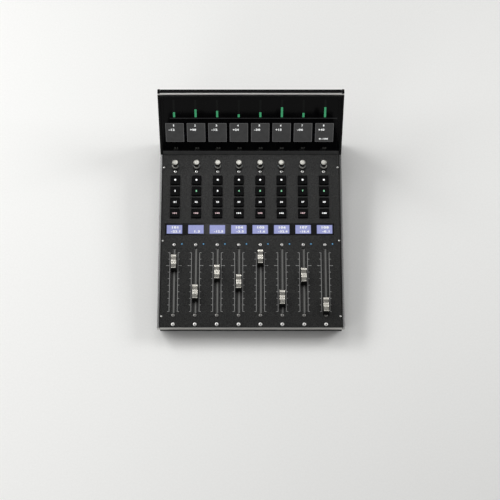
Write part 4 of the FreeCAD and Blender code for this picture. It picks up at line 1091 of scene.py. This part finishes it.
for channel, x in STRIP_X.items():
    rim = plate(f"strip_window_{channel}", WINDOW_WIDTH, WINDOW_HEIGHT, 0.5, lcd_edge_light)
    lay(rim, on_panel(x, STRIP_U, RIM_H))
    window = plate(f"strip_backlight_{channel}", WINDOW_WIDTH - 2 * WINDOW_RIM,
                   WINDOW_HEIGHT - 2 * WINDOW_RIM, 0.4, lcd_light)
    lay(window, on_panel(x, STRIP_U, WINDOW_H))
    level = LEVELS[channel]
    shown = figures(f"strip_level_{channel}", level, LEVEL_PITCH * len(level), LEVEL_HEIGHT,
                    figure_light)
    lay(shown, on_panel(x + LEVEL_X, LEVEL_U, FIGURES_H))
    if channel in NAMES:
        shown = figures(f"strip_name_{channel}", NAMES[channel], NAME_WIDTH, NAME_HEIGHT, figure_light)
        lay(shown, on_panel(x + NAME_X, NAME_U, FIGURES_H))
print("strip windows:", len(CHANNELS))

# %% [markdown]
# The hood's glass and meters
#
# Behind the smoked glass stand eight tile displays and, above them, eight level meters. Between
# them runs a glowing grey line, a painted highlight for the light caught along a seam in the glass.
# As on the strip, all that shines is laid just above the glass. A meter is a column of green
# segments: those up to the level are lit, and the rest can only just be made out.

# %% Hood glass and meters
hood_glass = stands_for(eased("display_glass", GLASS_EASED), "display_glass")
paint(hood_glass, black_glass)
METER_TOPS = {1: 91.0, 2: 97.0, 3: 94.0, 4: 87.0, 5: 91.0, 6: 101.5, 7: 90.0, 8: 101.5}
METER_LOW, METER_HIGH, SEGMENT = 80.5, 117.5, 1.5
# Where the glowing grey line lies: a painted highlight along a seam in the glass.
GLINT_V, GLINT_LEFT, GLINT_RIGHT = 78.4, -132.0, 140.5
segment = plate("segment_pattern", 3.4, SEGMENT - 0.2, 0.1, meter_light)
patterns.append(segment)


def meter(channel, x):
    """A column of segments, lit up to the channel's level."""
    column = []
    for place in range(int((METER_HIGH - METER_LOW) / SEGMENT)):
        bottom = METER_LOW + place * SEGMENT
        middle = METER_LOW + (place + 0.5) * SEGMENT
        piece = copied(segment, f"segment_{channel}", on_face(x, middle, RIM_H))
        column.append(paint(piece, meter_light if bottom < METER_TOPS[channel] - 0.5 else meter_off))
    return joined(f"meter_{channel}", *column)


print("segments in a meter:", int((METER_HIGH - METER_LOW) / SEGMENT))

# %% [markdown]
# Tile displays
#
# Each tile glows a dim grey with a lighter border. It shows its channel's number and a pan value,
# the last one a range as well, and a dim number is printed on the glass below each, made to glow
# as painted light so that it shows under any lamp. All of these are flat figures and plates.

# %% Eight tiles with their meters
TILE_V, TILE_WIDTH, TILE_HEIGHT, TILE_BORDER = 48.1, 29.8, 39.6, 0.6
PANS = {1: "-12", 2: "+08", 3: "-12", 4: "+24", 5: "-30", 6: "+15", 7: "-06", 8: "+40"}
# Lines of figures, from a tile's middle: to the right, up, greatest width, height.
NUMBER_LINE, PAN_LINE = (-1.5, 15.0, 2.4, 4.4), (-5.0, 6.0, 10.0, 4.6)
RANGE_LINE, BELOW_LINE = (-1.0, -13.5, 15.0, 3.6), (1.0, -33.4, 7.0, 3.4)


def write(name, words, channel, line, light, w=FIGURES_H):
    """Write a line of figures on a channel's tile, or on the glass below it."""
    right, up, width, height = line
    shown = figures(name, words, width, height, light)
    lay(shown, on_face(STRIP_X[channel] + right, TILE_V + up, w))


for channel, x in STRIP_X.items():
    border = plate(f"tile_border_{channel}", TILE_WIDTH, TILE_HEIGHT, 0.5, tile_frame_light)
    lay(border, on_face(x, TILE_V, RIM_H))
    tile = plate(f"tile_face_{channel}", TILE_WIDTH - 2 * TILE_BORDER,
                 TILE_HEIGHT - 2 * TILE_BORDER, 0.4, tile_light)
    lay(tile, on_face(x, TILE_V, WINDOW_H))
    write(f"tile_number_{channel}", str(channel), channel, NUMBER_LINE, figure_light)
    write(f"tile_pan_{channel}", PANS[channel], channel, PAN_LINE, figure_light)
    # The glass numbers are print made to glow: painted light.
    write(f"glass_number_{channel}", str(20 + channel), channel, BELOW_LINE, painted_glow_print, RIM_H)
    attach(meter(channel, x), "console")
write("tile_range_8", "0-100", 8, RANGE_LINE, figure_light)
# A painted highlight: the seam's glint is a glowing grey line.
painted_seam_glint = plate("painted_seam_glint", GLINT_RIGHT - GLINT_LEFT, 0.8, 0.2, seam_glint_light)
lay(painted_seam_glint, on_face((GLINT_LEFT + GLINT_RIGHT) / 2, GLINT_V, RIM_H))
print("tiles and meters:", len(CHANNELS))

# %% [markdown]
# Works behind the panel
#
# What is inside shows only through slots and holes, or when the frame is taken apart, and its
# shapes are already exact. It keeps the frame's meshes and gets its finishes by place: boards
# are green, housings black, and rods and frames plated.

# %% Finishes inside
def finish_by_height(node, place, layers):
    """Paint a node in layers: each finish holds from its height up, in millimetres."""
    mesh = nodes[node].data
    mesh.materials.clear()
    for finish, start in layers:
        mesh.materials.append(finish)
    for face in mesh.polygons:
        height = place(face.center).z
        face.material_index = max(number for number, (finish, start) in enumerate(layers)
                                  if height >= start)


# Each height is just below the level at which its layer begins.
BOTTOM = -math.inf
finish_by_height("control_board", panel_place, [
    (solder_mask, BOTTOM), (chip_epoxy, -7.99), (zinc_steel, -2.39), (lamp_light, -0.21)])
finish_by_height("fader_units", panel_place, [(chip_epoxy, BOTTOM), (zinc_steel, -24.01)])
finish_by_height("display_board", face_place, [(solder_mask, BOTTOM), (chip_epoxy, -5.49)])
finish_by_height("main_board", lambda spot: spot / MM, [
    (zinc_steel, BOTTOM), (solder_mask, 13.4), (chip_epoxy, 15.11)])
print("finishes inside done")

# %% [markdown]
# Rubber feet
#
# The feet are moulded discs with a rounded tread, so each is turned rather than left as a plain
# disc. A shallow hollow in its sole leaves a ring to stand on.

# %% Feet
FOOT_RADIUS = 9.0
feet_low, feet_high = (Vector(corner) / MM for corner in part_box("feet"))
sole = [(4.0, 0.6), (5.0, 0.0), (8.0, 0.0), (8.8, 0.3)]
side = [(FOOT_RADIUS, 0.9), (FOOT_RADIUS, 5.4), (8.7, 6.0)]
foot = turned("foot_pattern", sole + side, 40)
patterns.append(foot)
spots = [(x, y) for x in (feet_low.x + FOOT_RADIUS, feet_high.x - FOOT_RADIUS)
         for y in (feet_low.y + FOOT_RADIUS, feet_high.y - FOOT_RADIUS)]
soles = [copied(foot, "foot", Matrix.Translation((x * MM, y * MM, 0)) @ Matrix.Scale(MM, 4))
         for x, y in spots]
paint(stands_for(joined("rubber_feet", *soles), "feet"), foot_rubber)
print("feet at", [(round(x), round(y)) for x, y in spots])

# %% [markdown]
# Clearing up and the floor
#
# The patterns have been copied and go. The console stands on a plain pale floor of matt paint,
# which belongs to the stage and not to the console.

# %% Floor
for pattern in patterns:
    bpy.data.objects.remove(pattern)
bpy.ops.object.select_all(action="DESELECT")
bpy.ops.mesh.primitive_plane_add(size=6, location=(0, 0, 0))
floor = named("floor")
floor_paint, shader = new_finish("matt_white_paint", "#F4F4F2", 0.9)
grain(floor_paint, shader, grit=3.0, height=0.02, light="#F6F6F4", dark="#F2F2F0")
paint(floor, floor_paint)
print("patterns removed:", len(patterns))

# %% [markdown]
# Camera
#
# The camera looks down on the console steeply from the front with a long lens, so that the
# panel's sides stay nearly parallel.

# %% Camera
CAMERA_PLACE, LOOKS_DOWN = (-0.00144, -1.1055, 2.374), 65.5
bpy.ops.object.camera_add(location=CAMERA_PLACE, rotation=(math.radians(90 - LOOKS_DOWN), 0, 0))
camera = bpy.context.object
camera.name = "camera"
camera.data.lens = 113.4
camera.data.sensor_width = 36.0
camera.data.clip_end = 20.0
bpy.context.scene.camera = camera
print("camera at", tuple(round(c, 3) for c in camera.location))

# %% [markdown]
# Lamps and the world
#
# A wide dim lamp hangs overhead, where flat metal mirrors it, and a smaller one above the hood
# gives the rear of the panel its sheen. The main lamp is on the left at the back, where the
# cheek's edge mirrors it, and two fill in from the sides. A small one at the front left is
# mirrored in the cones of the knobs, and a spark above gives the display strip one highlight.

# %% Lamps and the world
def softbox(name, place, target, size, power):
    """A square lamp that faces a target."""
    bpy.ops.object.light_add(type="AREA", location=place)
    lamp = bpy.context.object
    lamp.name = name
    lamp.data.size = size
    lamp.data.energy = power
    lamp.rotation_euler = (Vector(target) - Vector(place)).to_track_quat("-Z", "Y").to_euler()


softbox("overhead_light", (0.0, 0.4, 1.7), (0, 0.1, 0.05), 1.0, 1.7)
softbox("sheen_light", (0.0, 0.46, 1.0), (0, 0.12, 0.05), 0.3, 0.8)
softbox("strip_spark", (-0.076, 0.256, 1.0), (-0.055, -0.008, 0.04), 0.06, 0.07)
softbox("front_fill", (-0.5, -0.8, 0.68), (0, 0.06, 0.08), 0.4, 1.3)
softbox("main_light", (-1.13, 0.72, 1.21), (-0.1, 0.05, 0.05), 0.6, 9.0)
softbox("left_fill", (-1.5, 0.1, 1.2), (0, 0.1, 0.05), 0.8, 10.0)
softbox("right_fill", (1.5, 0.3, 1.2), (0, 0.1, 0.05), 0.8, 12.0)

world = bpy.data.worlds.new("studio")
world.use_nodes = True
bpy.context.scene.world = world
sky = world.node_tree.nodes["Background"]
sky.inputs["Color"].default_value = (1, 1, 1, 1)
sky.inputs["Strength"].default_value = 0.22
bpy.context.scene.view_settings.view_transform = "Standard"
